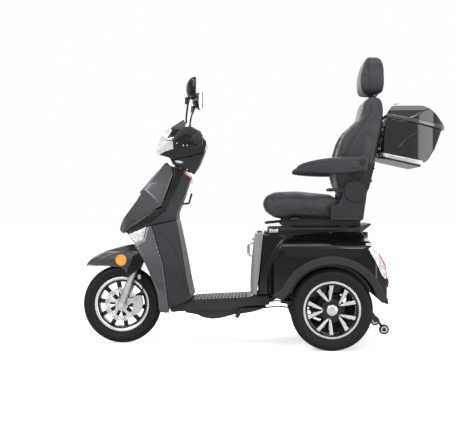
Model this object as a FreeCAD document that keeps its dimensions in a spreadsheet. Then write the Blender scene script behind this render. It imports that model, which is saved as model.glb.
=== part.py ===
"""Electric tricycle with a single steered front wheel, a captain's seat and a top box.

Millimetres.  The ground is Z = 0, the vehicle faces -X and its left side is -Y.  Pieces of the front are
placed from the front axle, pieces of the rear from the rear axle, so either end moves as one.
"""
import FreeCAD, Part
import math
import os
import Sketcher

V = FreeCAD.Vector

SIZES = {
    # where the wheels stand
    "front_axle_x": -727,
    "wheel_base": 1068,
    "rear_track": 580,
    "tyre_radius": 203,
    # tyres and rims
    "rim_radius": 142,
    "tyre_wall": 7,
    "front_tyre_width": 76,
    "rear_tyre_width": 84,
    "barrel_radius": 126,
    "spoke_thickness": 12,
    "hub_radius": 30,
    "front_axle_radius": 7.5,
    "rear_axle_radius": 12,
    "running_clearance": 0.05,
    "disc_radius": 87,
    "disc_thickness": 4,
    # steering
    "rake": 21.5,
    "axle_offset": 34,
    "stem_radius": 15,
    "head_tube_radius": 25,
    "leg_radius": 17,
    "leg_spacing": 132,
    "steering_swing": 116,
    "bar_radius": 11,
    "grip_radius": 17.5,
    "grip_length": 118,
    "bar_half_width": 368,
    "bar_height": 1044,
    # frame and floor
    "rail_radius": 16,
    "rail_spacing": 170,
    "floor_width": 330,
    "panel_wall": 3,
    # rear end
    "axle_tube_radius": 28,
    "arch_radius": 230,
    "flare_width": 34,
    "flare_thickness": 8,
    "deck_thickness": 24,
    "anti_tip_radius": 25,
    "anti_tip_width": 20,
    "anti_tip_spacing": 388,
    "anti_tip_height": 95,
    # seat
    "seat_width": 470,
    "seat_bottom": 655.3,
    "pivot_height": 785,
    "pivot_radius": 8,
    "plate_thickness": 5,
    "back_width": 450,
    "arm_width": 52,
    "arm_bolt_radius": 9,
    "post_radius": 6,
    "post_spacing": 120,
    "rest_width": 260,
    # top box
    "box_width": 410,
    "box_wall": 3,
    "rack_tube_radius": 6.5,
}

doc = FreeCAD.newDocument("Tricycle")
sheet = doc.addObject("Spreadsheet::Sheet", "Sizes")
for row, (word, number) in enumerate(SIZES.items(), start=1):
    sheet.set(f"A{row}", word)
    sheet.set(f"B{row}", str(number))
    sheet.setAlias(f"B{row}", word)
doc.recompute()

NODES = []


def size(word):
    """The number in the sheet's cell of that name."""
    return float(sheet.get(word))


def node(item, label):
    """Names an object as one of the tricycle's pieces."""
    item.Label = label
    NODES.append(item)
    return item


# ---------------------------------------------------------------- plain geometry

def fore(points):
    """Side-view points measured from the front axle's X, as (X, Z) in the part's frame."""
    return [(size("front_axle_x") + dx, z) for dx, z in points]


def aft(points):
    """Side-view points measured from the rear axle's X, as (X, Z) in the part's frame."""
    rear_x = size("front_axle_x") + size("wheel_base")
    return [(rear_x + dx, z) for dx, z in points]


def inset(points, walls):
    """Moves each edge of a polygon inwards by its own wall; a negative wall moves it outwards."""
    count = len(points)
    area = sum(points[i - 1][0] * points[i][1] - points[i][0] * points[i - 1][1] for i in range(count))
    turn = 1 if area > 0 else -1
    lines = []
    for i in range(count):
        (x0, z0), (x1, z1) = points[i], points[(i + 1) % count]
        run = math.hypot(x1 - x0, z1 - z0)
        ux, uz = (x1 - x0) / run, (z1 - z0) / run
        lines.append((x0 - turn * uz * walls[i], z0 + turn * ux * walls[i], ux, uz))
    corners = []
    for i in range(count):
        ax, az, aux, auz = lines[i - 1]
        bx, bz, bux, buz = lines[i]
        cross = aux * buz - auz * bux
        if abs(cross) < 1e-6:
            corners.append((bx, bz))
            continue
        along = ((bx - ax) * buz - (bz - az) * bux) / cross
        corners.append((ax + along * aux, az + along * auz))
    return corners


def extrude(corners, direction):
    """A solid swept straight from a flat polygon of vectors."""
    wire = Part.makePolygon(corners + corners[:1])
    return Part.Face(wire).extrude(direction)


def side_prism(points, y_low, y_high):
    """A side-view (X, Z) polygon stretched across the vehicle."""
    return extrude([V(x, y_low, z) for x, z in points], V(0, y_high - y_low, 0))


def plan_prism(half, z_low, z_high):
    """A plan outline given as its right half, (X, half width) from front to back, mirrored and raised."""
    right = [V(x, y, z_low) for x, y in half]
    left = [V(x, -y, z_low) for x, y in reversed(half)]
    return extrude(right + left, V(0, 0, z_high - z_low))


def front_prism(half, x_low, x_high):
    """A front-view outline given as its right half, (half width, Z) upwards, mirrored and stretched along X."""
    right = [V(x_low, y, z) for y, z in half]
    left = [V(x_low, -y, z) for y, z in reversed(half)]
    return extrude(right + left, V(x_high - x_low, 0, 0))


def panel(side, wall, open_edges=(), front=None, plan=None, width=None, room=None):
    """A moulded shell: a side outline limited by a front outline, a plan outline or a plain width.

    The shell has no wall at the side outline's edges whose numbers are in open_edges.  It bends inwards
    around a room, which is a function that gives the space to stay out of, grown by some extra.
    """
    reach = 2000
    walls = [-3 * wall if i in open_edges else wall for i in range(len(side))]
    outer = side_prism(side, -reach, reach)
    inner = side_prism(inset(side, walls), -reach, reach)
    if front:
        outer = outer.common(front_prism(front, -reach, reach))
        inner = inner.common(front_prism([(y - wall, z) for y, z in front], -reach, reach))
    if plan:
        outer = outer.common(plan_prism(plan, -reach, reach))
        inner = inner.common(plan_prism([(x, y - wall) for x, y in plan], -reach, reach))
    if width:
        outer = outer.common(Part.makeBox(2 * reach, width, 2 * reach, V(-reach, -width / 2, -reach)))
        hollow = width - 2 * wall
        inner = inner.common(Part.makeBox(2 * reach, hollow, 2 * reach, V(-reach, -hollow / 2, -reach)))
    if room:
        outer = outer.cut(room(0))
        inner = inner.cut(room(wall))
    return outer.cut(inner)


def rod(start, end, radius):
    """A straight round bar between two points."""
    return Part.makeCylinder(radius, (end - start).Length, start, end - start)


def pipe(points, radius, bend):
    """A round bar along straight runs joined by tangent arcs of one bend radius."""
    edges = []
    last = points[0]
    for before, corner, after in zip(points, points[1:], points[2:]):
        back = (before - corner).normalize()
        on = (after - corner).normalize()
        half_turn = (math.pi - back.getAngle(on)) / 2
        trim = bend * math.tan(half_turn)
        start = corner + back * trim
        end = corner + on * trim
        bisector = (back + on).normalize()
        middle = corner + bisector * (bend / math.cos(half_turn) - bend)
        edges.append(Part.LineSegment(last, start).toShape())
        edges.append(Part.Arc(start, middle, end).toShape())
        last = end
    edges.append(Part.LineSegment(last, points[-1]).toShape())
    section = Part.Wire(Part.makeCircle(radius, points[0], points[1] - points[0]))
    return Part.Wire(edges).makePipeShell([section], True, True)


def both_sides(shape):
    """A left piece and its mirror image as two solids of one shape."""
    return Part.makeCompound([shape, shape.mirror(V(0, 0, 0), V(0, 1, 0))])


def united(shapes):
    """Several touching solids as one."""
    return shapes[0].multiFuse(shapes[1:]).removeSplitter()


def shape_of(label):
    """The shape of a piece made earlier."""
    return next(item for item in NODES if item.Label == label).Shape


def feature(label, shape, seated_on=()):
    """A piece whose shape is made directly, where no sketch or primitive fits its form.

    It is cut back to the faces of the pieces that carry it, named in seated_on.
    """
    for carrier in seated_on:
        shape = shape.cut(shape_of(carrier))
    item = doc.addObject("Part::Feature", "Shape_" + label)
    item.Shape = shape
    item.Placement = FreeCAD.Placement(V(0, 0, 0), FreeCAD.Rotation())
    return node(item, label)


# ---------------------------------------------------------------- bodies with sketches

def origin_plane(body, role):
    return next(item for item in body.Origin.OriginFeatures if item.Role == role)


def sketch_on(body, role, points):
    """A closed outline on one of the body's own origin planes."""
    sketch = body.newObject("Sketcher::SketchObject", body.Name + "_outline")
    sketch.AttachmentSupport = [(origin_plane(body, role), "")]
    sketch.MapMode = "FlatFace"
    corners = [V(a, b, 0) for a, b in points]
    for start, end in zip(corners, corners[1:] + corners[:1]):
        sketch.addGeometry(Part.LineSegment(start, end), False)
    count = len(corners)
    for i in range(count):
        sketch.addConstraint(Sketcher.Constraint("Coincident", i, 2, (i + 1) % count, 1))
    return sketch


def plate_body(name, points, thickness, centre_y):
    """A side-view outline padded evenly to both sides of a plane at centre_y; both are expressions."""
    body = doc.addObject("PartDesign::Body", name)
    sketch = sketch_on(body, "XZ_Plane", points)
    pad = body.newObject("PartDesign::Pad", name + "_pad")
    pad.Profile = sketch
    pad.SideType = "Symmetric"
    pad.setExpression("Length", thickness)
    body.setExpression("Placement.Base.y", centre_y)
    return body


def turned_body(name, half_section, axle_x, centre_y):
    """A wheel part: (radius, offset) points turned about a cross axis at the wheels' height."""
    body = doc.addObject("PartDesign::Body", name)
    sketch = sketch_on(body, "XY_Plane", half_section)
    turn = body.newObject("PartDesign::Revolution", name + "_turn")
    turn.Profile = sketch
    turn.ReferenceAxis = (sketch, ["V_Axis"])
    turn.Angle = 360
    body.setExpression("Placement.Base.x", axle_x)
    body.setExpression("Placement.Base.y", centre_y)
    body.setExpression("Placement.Base.z", "Sizes.tyre_radius")
    return body


def cut_windows(body, windows, count):
    """Cuts each outline through the wheel and repeats it evenly around the axle."""
    for number, points in enumerate(windows):
        before = body.Tip
        sketch = sketch_on(body, "XZ_Plane", points)
        pocket = body.newObject("PartDesign::Pocket", f"{body.Name}_window{number}")
        pocket.Profile = sketch
        pocket.SideType = "Symmetric"
        pocket.Type = "ThroughAll"
        doc.recompute()
        if pocket.Shape.Volume >= before.Shape.Volume:
            raise ValueError(f"{body.Name}: window {number} cut nothing")
        pattern = body.newObject("PartDesign::PolarPattern", f"{body.Name}_ring{number}")
        pattern.Originals = [pocket]
        pattern.Axis = (sketch, ["N_Axis"])
        pattern.Angle = 360
        pattern.Occurrences = count
        body.Tip = pattern


def pair_of(label, left):
    """A left piece and its mirror image, kept as one node of two solids."""
    right = doc.addObject("Part::Mirroring", left.Name + "_right")
    right.Source = left
    right.Normal = V(0, 1, 0)
    pair = doc.addObject("Part::Compound", left.Name + "_pair")
    pair.Links = [left, right]
    return node(pair, label)


# ---------------------------------------------------------------- places worked out from the sizes

FRONT_X = size("front_axle_x")
REAR_X = FRONT_X + size("wheel_base")
AXLE_Z = size("tyre_radius")
WALL = size("panel_wall")
RAKE = math.radians(size("rake"))
STEER = V(math.sin(RAKE), 0, math.cos(RAKE))      # up along the steering axis
AHEAD = V(-math.cos(RAKE), 0, math.sin(RAKE))     # forwards, square to the steering axis
FRONT_AXLE = V(FRONT_X, 0, AXLE_Z)
STEER_FOOT = FRONT_AXLE - AHEAD * size("axle_offset")
WHEEL_Y = size("rear_track") / 2
FRONT_X_CELL = "Sizes.front_axle_x"
REAR_X_CELL = "Sizes.front_axle_x + Sizes.wheel_base"


DECK_Z = 606
DECK_LOW = DECK_Z - size("deck_thickness")
BEAM_Z = 470


def on_steering(height, ahead=0.0, side=0.0):
    """A point on the raked axis at a height above ground, moved ahead of it and sideways."""
    along = (height - STEER_FOOT.z) / STEER.z
    return STEER_FOOT + STEER * along + AHEAD * ahead + V(0, side, 0)


DOWN_TUBE = [on_steering(570), V(FRONT_X + 282, 0, 420), V(FRONT_X + 312, 0, 235), V(FRONT_X + 372, 0, 205)]

# outlines of the front bodywork, from the front axle; neighbours share their seams
NOSE_SEAM = fore([(12, 568), (27, 582), (167, 690), (215, 712), (272, 880), (265, 917)])
LAMP_TOP = fore([(45, 569), (139, 609)])
LAMP_FRONT = fore([(83, 520)])
LAMP_BACK = fore([(124, 540)])
KNEE_SEAM = fore([(167, 612), (293, 642)])
SHIELD_SEAM = fore([(167, 612), (227, 420), (257, 200)])
COLUMN_TOP = fore([(265, 917), (327, 892), (361, 866)])


# ---------------------------------------------------------------- wheels

RIM_INSET = 7      # how much narrower the rim is than its tyre, on each side


def tyre_section(width):
    """A tyre's section: a rounded tread and walls, hollow inside and open at the rim."""
    outer_radius = size("tyre_radius")
    seat = size("barrel_radius")
    middle = (outer_radius + seat) / 2
    reach = outer_radius - middle
    steps = [math.radians(angle) for angle in range(-90, 91, 15)]
    wall = size("tyre_wall")
    outer = [(middle + reach * math.cos(a), width / 2 * math.sin(a)) for a in steps]
    inner = [(middle + (reach - wall) * math.cos(a), (width / 2 - wall) * math.sin(a)) for a in steps]
    bead = width / 2 - RIM_INSET - 6.2
    flank = width / 2 - RIM_INSET - 1.2
    lip = size("rim_radius") + 1
    low = [(lip, -flank), (seat, -bead), (seat, -bead + wall), (lip, -flank + wall)]
    high = [(lip, flank - wall), (seat, bead - wall), (seat, bead), (lip, flank)]
    return low + inner + high + outer[::-1]


def rim_section(width, spoke_offset, hub_low, hub_high, bore):
    """A cast rim: hub, one disc for the spokes, and a barrel with a lip on each side of the tyre."""
    lip = size("rim_radius")
    barrel = size("barrel_radius")
    skin = 5
    edge = width / 2
    disc_low = spoke_offset - size("spoke_thickness") / 2
    disc_high = spoke_offset + size("spoke_thickness") / 2
    hub = size("hub_radius")
    return [(bore, hub_low), (hub, hub_low), (hub, disc_low), (barrel - skin, disc_low),
            (barrel - skin, -edge + 4), (lip, -edge - 2), (lip, -edge + 1), (barrel, -edge + 6),
            (barrel, edge - 6), (lip, edge - 1), (lip, edge + 2), (barrel - skin, edge - 4),
            (barrel - skin, disc_high), (hub, disc_high), (hub, hub_high), (bore, hub_high)]


def window(inner_radius, outer_radius, inner_half, outer_half, centre):
    """A four-sided opening between two spokes, from radii and half angles in degrees."""
    corners = [(inner_radius, -inner_half), (outer_radius, -outer_half),
               (outer_radius, outer_half), (inner_radius, inner_half)]
    return [(radius * math.cos(math.radians(centre + turn)), radius * math.sin(math.radians(centre + turn)))
            for radius, turn in corners]


def front_wheel():
    bore = size("front_axle_radius") + size("running_clearance")
    tyre = turned_body("FrontTyre", tyre_section(size("front_tyre_width")), FRONT_X_CELL, "0")
    node(tyre, "front_tyre")
    rim = turned_body("FrontRim", rim_section(size("front_tyre_width") - 2 * RIM_INSET, 0, -34, 34, bore),
                      FRONT_X_CELL, "0")
    cut_windows(rim, [window(52, 118, 9, 12.5, 100 + 18)], 10)
    node(rim, "front_rim")
    radius = size("disc_radius")
    face = -34 - size("disc_thickness")
    section = [(bore + 14, face), (radius, face), (radius, -34), (bore + 14, -34)]
    disc = turned_body("BrakeDisc", section, FRONT_X_CELL, "0")
    cut_windows(disc, [window(44, 62, 9, 9, 0)], 10)
    node(disc, "brake_disc")


def rear_wheel(side, word):
    """A rear wheel: five pairs of spokes that fork from the hub to the rim."""
    bore = size("rear_axle_radius") + size("running_clearance")
    centre = f"{side} * Sizes.rear_track / 2"
    width = size("rear_tyre_width")
    tyre = turned_body(f"RearTyre{word}", tyre_section(width), REAR_X_CELL, centre)
    node(tyre, f"rear_tyre_{word}")
    low, high = (-28, 36) if side > 0 else (-36, 28)
    rim_profile = rim_section(width - 2 * RIM_INSET, side * 24, low, high, bore)
    rim = turned_body(f"RearRim{word}", rim_profile, REAR_X_CELL, centre)
    cut_windows(rim, [window(66, 118, 2, 12, 180), window(62, 118, 22, 12, 144)], 5)
    node(rim, f"rear_rim_{word}")


def anti_tip_wheel(side, word):
    bore = 5 + size("running_clearance")
    outer = size("anti_tip_radius")
    half = size("anti_tip_width") / 2
    section = [(bore, -half), (outer - 3, -half), (outer, -half + 3), (outer, half - 3), (outer - 3, half),
               (bore, half)]
    wheel = turned_body(f"AntiTip{word}", section, REAR_X_CELL + " + 269",
                        f"{side} * Sizes.anti_tip_spacing / 2")
    wheel.setExpression("Placement.Base.z", "Sizes.anti_tip_height")
    node(wheel, f"anti_tip_wheel_{word}")


# ---------------------------------------------------------------- steering

BAR_HALF = size("bar_half_width")
BAR_Z = size("bar_height")
BAR_RUN = [V(FRONT_X + 410, -BAR_HALF, BAR_Z), V(FRONT_X + 404, -215, BAR_Z + 2), V(FRONT_X + 352, -105,
                                                                                    BAR_Z - 2),
           V(FRONT_X + 352, 105, BAR_Z - 2), V(FRONT_X + 404, 215, BAR_Z + 2), V(FRONT_X + 410, BAR_HALF,
                                                                                 BAR_Z)]
CROWN_LOW = 428


def fork_parts():
    """The stem with its crown and bar clamp, the two legs, and the axle between them."""
    half = size("leg_spacing") / 2
    leg = size("leg_radius")
    crown_half = half + leg - 3
    crown = Part.makeBox(70, 2 * crown_half, 26, V(-50, -crown_half, 0))
    crown.Placement = FreeCAD.Placement(on_steering(CROWN_LOW), FreeCAD.Rotation(V(0, 1, 0), size("rake")))
    top = on_steering(BAR_Z + 4)
    stem = rod(on_steering(CROWN_LOW + 4), top, size("stem_radius"))
    clamp_at = V(BAR_RUN[2].x, 0, BAR_RUN[2].z)
    clamp = rod(clamp_at + V(0, -30, 0), clamp_at + V(0, 30, 0), size("bar_radius") + 8)
    bar_hole = rod(clamp_at + V(0, -40, 0), clamp_at + V(0, 40, 0), size("bar_radius"))
    feature("steering_stem", united([crown, stem, clamp]).cut(bar_hole))
    legs = []
    for side in (-1, 1):
        foot = FRONT_AXLE + V(0, side * half, 0)
        head = on_steering(CROWN_LOW, size("axle_offset"), side * half)
        lug = rod(foot + V(0, -11, 0), foot + V(0, 11, 0), 22)
        upper = rod(foot + STEER * 20, head, leg)
        lower = rod(foot + STEER * 10, foot + STEER * 120, leg + 3)
        solid = united([lug, upper, lower])
        hole = rod(foot + V(0, -20, 0), foot + V(0, 20, 0), size("front_axle_radius") +
                   size("running_clearance"))
        legs.append(solid.cut(hole))
    feature("fork_legs", Part.makeCompound(legs))
    reach = half + 11
    pin = rod(FRONT_AXLE + V(0, -reach, 0), FRONT_AXLE + V(0, reach, 0), size("front_axle_radius"))
    nuts = [rod(FRONT_AXLE + V(0, side * reach, 0), FRONT_AXLE + V(0, side * (reach + 9), 0), 13)
            for side in (-1, 1)]
    spacers = []
    for side, start in ((-1, 38.5), (1, 34.5)):
        sleeve = rod(FRONT_AXLE + V(0, side * start, 0), FRONT_AXLE + V(0, side * (half - 11), 0), 12)
        spacers.append(sleeve)
    feature("front_axle", united([pin] + nuts + spacers), ["fork_legs"])


def front_fender():
    """The mudguard that turns with the fork, with its side guard on each side of the tyre."""
    crown = fore([(-184, 403), (-172, 424), (-153, 441), (-113, 464), (-73, 481), (27, 508), (62, 514),
                  (87, 478),
                  (92, 464), (117, 438), (102, 395), (87, 380), (37, 350), (24, 365), (15, 385), (-3, 395)])
    half = size("leg_spacing") / 2 - size("leg_radius") - 1
    hood = [(half, 300), (half, 440), (half - 6, 476), (half - 22, 505), (half - 38, 518)]
    shell = panel(crown, WALL, open_edges=(13, 14, 15), front=hood)
    swept = rod(FRONT_AXLE + V(0, -200, 0), FRONT_AXLE + V(0, 200, 0), size("tyre_radius") + 9)
    tyre_room = swept.common(Part.makeBox(900, 89, 900, V(FRONT_X - 450, -44.5, 0)))
    stem_room = rod(on_steering(CROWN_LOW - 4), on_steering(620), size("stem_radius") + 30)
    feature("front_fender", largest(shell.cut(tyre_room).cut(stem_room)), ["steering_stem", "fork_legs"])
    lens = plate_body("FenderReflector", round_outline(fore([(-1, 433)])[0], 29), "6", "0")
    edge = size("leg_spacing") / 2 - size("leg_radius") + 2
    lens.setExpression("Placement.Base.y", f"-({edge})")
    pair_of("fender_reflectors", lens)


def round_outline(centre, radius, count=24):
    """A circle's corners in side view."""
    turns = [2 * math.pi * i / count for i in range(count)]
    return [(centre[0] + radius * math.cos(t), centre[1] + radius * math.sin(t)) for t in turns]


def brake_caliper():
    """A caliper over the disc's rear edge, carried by the left leg."""
    block = Part.makeBox(40, 30, 70, V(FRONT_X + 60, -51, AXLE_Z - 28))
    gap = size("disc_thickness") + 4
    middle = -34 - size("disc_thickness") / 2
    slot = rod(FRONT_AXLE + V(0, middle - gap / 2, 0), FRONT_AXLE + V(0, middle + gap / 2, 0),
               size("disc_radius") + 5)
    tab = Part.makeBox(46, 10, 16, V(FRONT_X + 18, -60, AXLE_Z + 18))
    bridge = Part.makeBox(20, 10, 16, V(FRONT_X + 60, -60, AXLE_Z + 18))
    feature("brake_caliper", largest(united([block, bridge, tab]).cut(slot).cut(shape_of("fork_legs"))))


def handlebar():
    bar = pipe(BAR_RUN, size("bar_radius"), 60)
    feature("handlebar", bar)
    grips = []
    perches = []
    levers = []
    for side, points in ((-1, BAR_RUN), (1, BAR_RUN[::-1])):
        end = points[0]
        inward = (points[1] - end).normalize()
        outer = rod(end - inward * 6, end + inward * size("grip_length"), size("grip_radius"))
        bore = rod(end, end + inward * (size("grip_length") + 10), size("bar_radius"))
        grips.append(outer.cut(bore))
        perch_at = end + inward * (size("grip_length") + 6)
        ring = rod(perch_at, perch_at + inward * 34, size("bar_radius") + 9)
        arm = Part.makeBox(46, 22, 16, V(perch_at.x - 52, perch_at.y - (22 if side > 0 else 0), BAR_Z - 8))
        blade = Part.makeBox(13, 128, 9, V(perch_at.x - 58, 0, BAR_Z - 5))
        blade.Placement.Base.y = perch_at.y - 22 if side > 0 else perch_at.y - 106
        hole = rod(perch_at - inward * 30, perch_at + inward * 60, size("bar_radius"))
        levers.append(united([ring, arm, blade]).cut(hole))
    feature("hand_grips", Part.makeCompound(grips), ["handlebar"])
    feature("brake_levers", Part.makeCompound(levers), ["handlebar"])


def mirrors():
    """Mirror heads on thin stalks, each clamped to the bar beside the cowl."""
    sides = []
    for side in (-1, 1):
        foot = V(FRONT_X + 376, side * 156, BAR_Z)
        stalk = pipe([foot + V(-16, 0, 12), foot + V(-22, side * 4, 80), foot + V(-18, side * 60, 168),
                      foot + V(-22, side * 92, 214)], 5, 30)
        nut = rod(foot + V(-18, 0, 30), foot + V(-21, side * 3, 66), 11)
        head = Part.makeSphere(1)
        stretch = FreeCAD.Matrix()
        stretch.scale(V(27, 76, 56))
        head = head.transformGeometry(stretch)
        head.translate(foot + V(-8, side * 110, 247))
        slice_box = Part.makeBox(60, 200, 200, V(foot.x + 8, foot.y + side * 110 - 100, foot.z + 147))
        head = head.cut(slice_box)
        direction = (BAR_RUN[4] - BAR_RUN[3]).normalize() if side > 0 else (BAR_RUN[1] - BAR_RUN[2]).normalize()
        base = BAR_RUN[3] if side > 0 else BAR_RUN[2]
        along = (156 - abs(base.y)) / abs(direction.y)
        at = base + direction * along
        ring = rod(at - direction * 9, at + direction * 9, size("bar_radius") + 7)
        hole = rod(at - direction * 30, at + direction * 30, size("bar_radius"))
        lug = rod(at + V(0, 0, 6), foot + V(-18, 0, 32), 8)
        sides.append(united([ring, lug, nut, stalk, head]).cut(hole))
    feature("mirrors", Part.makeCompound(sides), ["handlebar"])


HEAD_FRONT = [(40, 860), (62, 915), (78, 985), (112, 1030), (118, 1062), (100, 1105), (66, 1140),
              (40, 1166)]
LENS_SEAM = fore([(228, 1092), (206, 1045), (195, 1000), (200, 978)])
DASH_SEAM = fore([(347, 1122), (382, 1102), (405, 1092), (418, 1070)])
NECK_SEAM = fore([(250, 962), (262, 948), (420, 985)])


def head_cowl():
    """The cowl round the bar's middle, its neck, the headlight and the instrument panel."""
    top = fore([(322, 1160)])
    visor = fore([(235, 1105)])
    rear = fore([(445, 1040), (436, 1004)])
    cowl_side = top + DASH_SEAM + rear + NECK_SEAM[::-1] + LENS_SEAM[::-1] + visor
    cowl = panel(cowl_side, WALL, open_edges=(7, 8), front=HEAD_FRONT)
    arms = pipe(BAR_RUN, size("bar_radius") + 0.3, 60)
    neck_side = NECK_SEAM + fore([(436, 1004)]) + fore([(422, 970), (402, 920), (369, 887)]) + fore([(272,
                                                                                                      925)])
    neck = panel(neck_side, WALL, open_edges=(0, 1, 2, 6), front=HEAD_FRONT)
    feature("head_cowl", cowl.cut(arms))
    feature("column_cover", neck)
    lamp_side = LENS_SEAM + fore([(182, 985), (186, 1008), (205, 1055), (226, 1098)])
    lamp = side_prism(lamp_side, -300, 300).common(front_prism([(46, 960), (64, 1010), (70, 1060),
                                                                (52, 1110)],
                                                               -1000, 0))
    feature("headlight", lamp)
    dash_side = DASH_SEAM + fore([(424, 1074), (410, 1099), (386, 1110), (350, 1130)])
    feature("dashboard", side_prism(dash_side, -62, 62))


# ---------------------------------------------------------------- front bodywork and floor

def swing_room(extra):
    """The space that the fork and the front wheel need as they steer."""
    fork = rod(on_steering(150), on_steering(545), size("steering_swing") + extra)
    wheel = Part.makeSphere(size("tyre_radius") + 12 + extra, FRONT_AXLE)
    slab = Part.makeBox(800, 2 * (150 + extra), 800, V(FRONT_X - 400, -150 - extra, 0))
    return fork.fuse(wheel.common(slab))


def front_bodywork():
    nose_side = NOSE_SEAM + fore([(227, 932), (102, 765), (87, 745), (27, 665), (5, 635), (-11, 585)])
    nose_plan = fore_plan([(-12, 34), (5, 58), (27, 80), (87, 106), (167, 130), (215, 132), (280, 120)])
    feature("nose_panel", panel(nose_side, WALL, open_edges=(0, 1, 2, 3, 4), plan=nose_plan,
                                front=None).common(front_prism(NOSE_FRONT, -2000, 2000)))
    shroud_side = NOSE_SEAM[1:] + COLUMN_TOP[1:] + fore([(325, 750),
                                                         (295, 680)]) + KNEE_SEAM[::-1] + LAMP_TOP[::-1]
    shroud = panel(shroud_side, WALL, open_edges=(0, 1, 2, 3, 4, 9), front=SHROUD_FRONT)
    stem_hole = rod(on_steering(820), on_steering(960), size("stem_radius") + 12)
    feature("column_shroud", largest(shroud.cut(stem_hole).cut(tube_room())))
    apron_side = SHIELD_SEAM + fore([(272, 165), (212, 172), (205, 200), (199, 270), (173, 340),
                                     (127, 440), (77, 517)])
    apron_side = apron_side + LAMP_FRONT + LAMP_BACK + LAMP_TOP[1:]
    apron = panel(apron_side, WALL, open_edges=(0, 1, 2, 12), front=SHIELD_FRONT)
    room = swing_room(0)
    liner = swing_room(WALL)
    filled = side_prism(apron_side, -200, 200).common(front_prism([(y - 1, z) for y, z in SHIELD_FRONT],
                                                                  -2000, 2000))
    skin = filled.common(liner).cut(room)
    apron = apron.fuse(skin).cut(room).removeSplitter()
    feature("leg_shield_front", largest(apron))
    inner_side = KNEE_SEAM + fore([(327, 480), (352, 340), (372, 245), (327, 222)]) + SHIELD_SEAM[::-1][:-1]
    inner = panel(inner_side, WALL, open_edges=(0, 6, 7), front=SHIELD_FRONT)
    feature("leg_shield_inner", largest(inner.cut(tube_room())))
    lamp_side = LAMP_TOP + LAMP_BACK + LAMP_FRONT
    lamp = plate_body("Indicator", lamp_side, "46", "-104")
    pair_of("front_indicators", lamp)
    hook = pipe([V(x, 0, z) for x, z in fore([(300, 722), (347, 726), (362, 778)])], 5, 9)
    feature("bag_hook", largest(hook.cut(shape_of("column_shroud"))))


def fore_plan(points):
    return [(FRONT_X + dx, half) for dx, half in points]


def aft_plan(points):
    return [(REAR_X + dx, half) for dx, half in points]


def largest(shape):
    """The biggest solid of a shape, which drops slivers left by a cut."""
    return max(shape.Solids, key=lambda solid: solid.Volume)


NOSE_FRONT = [(134, 560), (130, 700), (112, 800), (78, 900), (60, 940)]
SHROUD_FRONT = [(127, 560), (124, 640), (104, 720), (80, 800), (66, 930)]
SHIELD_FRONT = [(165, 160), (196, 200), (198, 330), (184, 460), (150, 600), (127, 660)]


def floor():
    """The foot board on its two rails, with the tray beneath that covers the wiring and the controller."""
    half = size("floor_width") / 2
    deck_side = fore([(257, 200), (327, 222), (387, 241)]) + aft([(-420, 253), (-366, 262), (-301, 262),
                                                                  (-301, 212),
                                                                (-421, 205), (-481, 190)]) + fore([(427,
                                                                                                    180),
                                                                                                   (267,
                                                                                                    175)])
    board = panel(deck_side, WALL, open_edges=(5, 6, 7, 8, 9), width=2 * half)
    feature("floor_board", largest(board.cut(tube_room())))
    pan_side = fore([(337, 168), (397, 160), (427, 145), (472, 138)]) + aft([(-541, 145), (-486, 160),
                                                                             (-401, 172),
                                                                            (-341, 190),
                                                                            (-316, 203)]) + fore([(337,
                                                                                                   203)])
    pan = panel(pan_side, WALL, open_edges=(8,), width=2 * (half - 25))
    feature("belly_pan", largest(pan.cut(shape_of("main_frame"))))
    pedal_y = -half + 25 - 10.3
    shaft = rod(V(REAR_X - 441, -half + 25, 190), V(REAR_X - 441, pedal_y - 8, 190), 9)
    pedal = rod(V(REAR_X - 441, pedal_y, 198), V(REAR_X - 471, pedal_y, 148), 10)
    feature("parking_brake_pedal", united([shaft, pedal]), ["belly_pan"])


def tube_room():
    """The holes in the panels where the down tube and the head tube pass."""
    down = pipe(DOWN_TUBE, size("rail_radius") + 7, 40)
    return down.fuse(rod(on_steering(480), on_steering(660), size("head_tube_radius") + 3))


def frame():
    """The welded tube frame: head tube, down tube, two floor rails and the cross members."""
    half = size("rail_spacing") / 2
    radius = size("rail_radius")
    head = rod(on_steering(488), on_steering(655), size("head_tube_radius"))
    bore = rod(on_steering(480), on_steering(660), size("stem_radius") + size("running_clearance"))
    down = pipe(DOWN_TUBE, radius + 4, 40)
    parts = [head, down]
    rails = []
    for side in (-1, 1):
        y = side * half
        run = [V(FRONT_X + 350, y, 205), V(REAR_X - 420, y, 219), V(REAR_X - 300, y, 236), V(REAR_X - 215,
                                                                                             y, 290),
               V(REAR_X + 190, y, 290)]
        rails.append(pipe(run, radius, 60))
    crossings = [(FRONT_X + 360, 214.6, half + 40), (REAR_X - 455, 234.2, half + 40), (REAR_X - 316, 234,
                                                                                       half),
                 (REAR_X - 190, 290, half + 60), (REAR_X - 60, 290, half), (REAR_X + 60, 290, half),
                 (REAR_X + 180, 290, half + 60)]
    for x, z, reach in crossings:
        parts.append(rod(V(x, -reach, z), V(x, reach, z), radius - 2))
    whole = united(parts + rails)
    feature("main_frame", whole.cut(bore))
    posts = []
    for side in (-1, 1):
        for x in (REAR_X - 190, REAR_X + 180):
            foot = V(x, side * (half + 52), 290 + radius - 2)
            posts.append(rod(foot, V(foot.x, foot.y, DECK_LOW), radius - 2))
    beam = [rod(V(REAR_X, -205, BEAM_Z), V(REAR_X, 205, BEAM_Z), radius)]
    for side in (-1, 1):
        beam.append(rod(V(REAR_X, side * 188, BEAM_Z), V(REAR_X, side * 188, DECK_LOW), radius - 3))
    feature("seat_posts", Part.makeCompound(posts + [united(beam)]), ["main_frame"])


# ---------------------------------------------------------------- rear end

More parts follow.
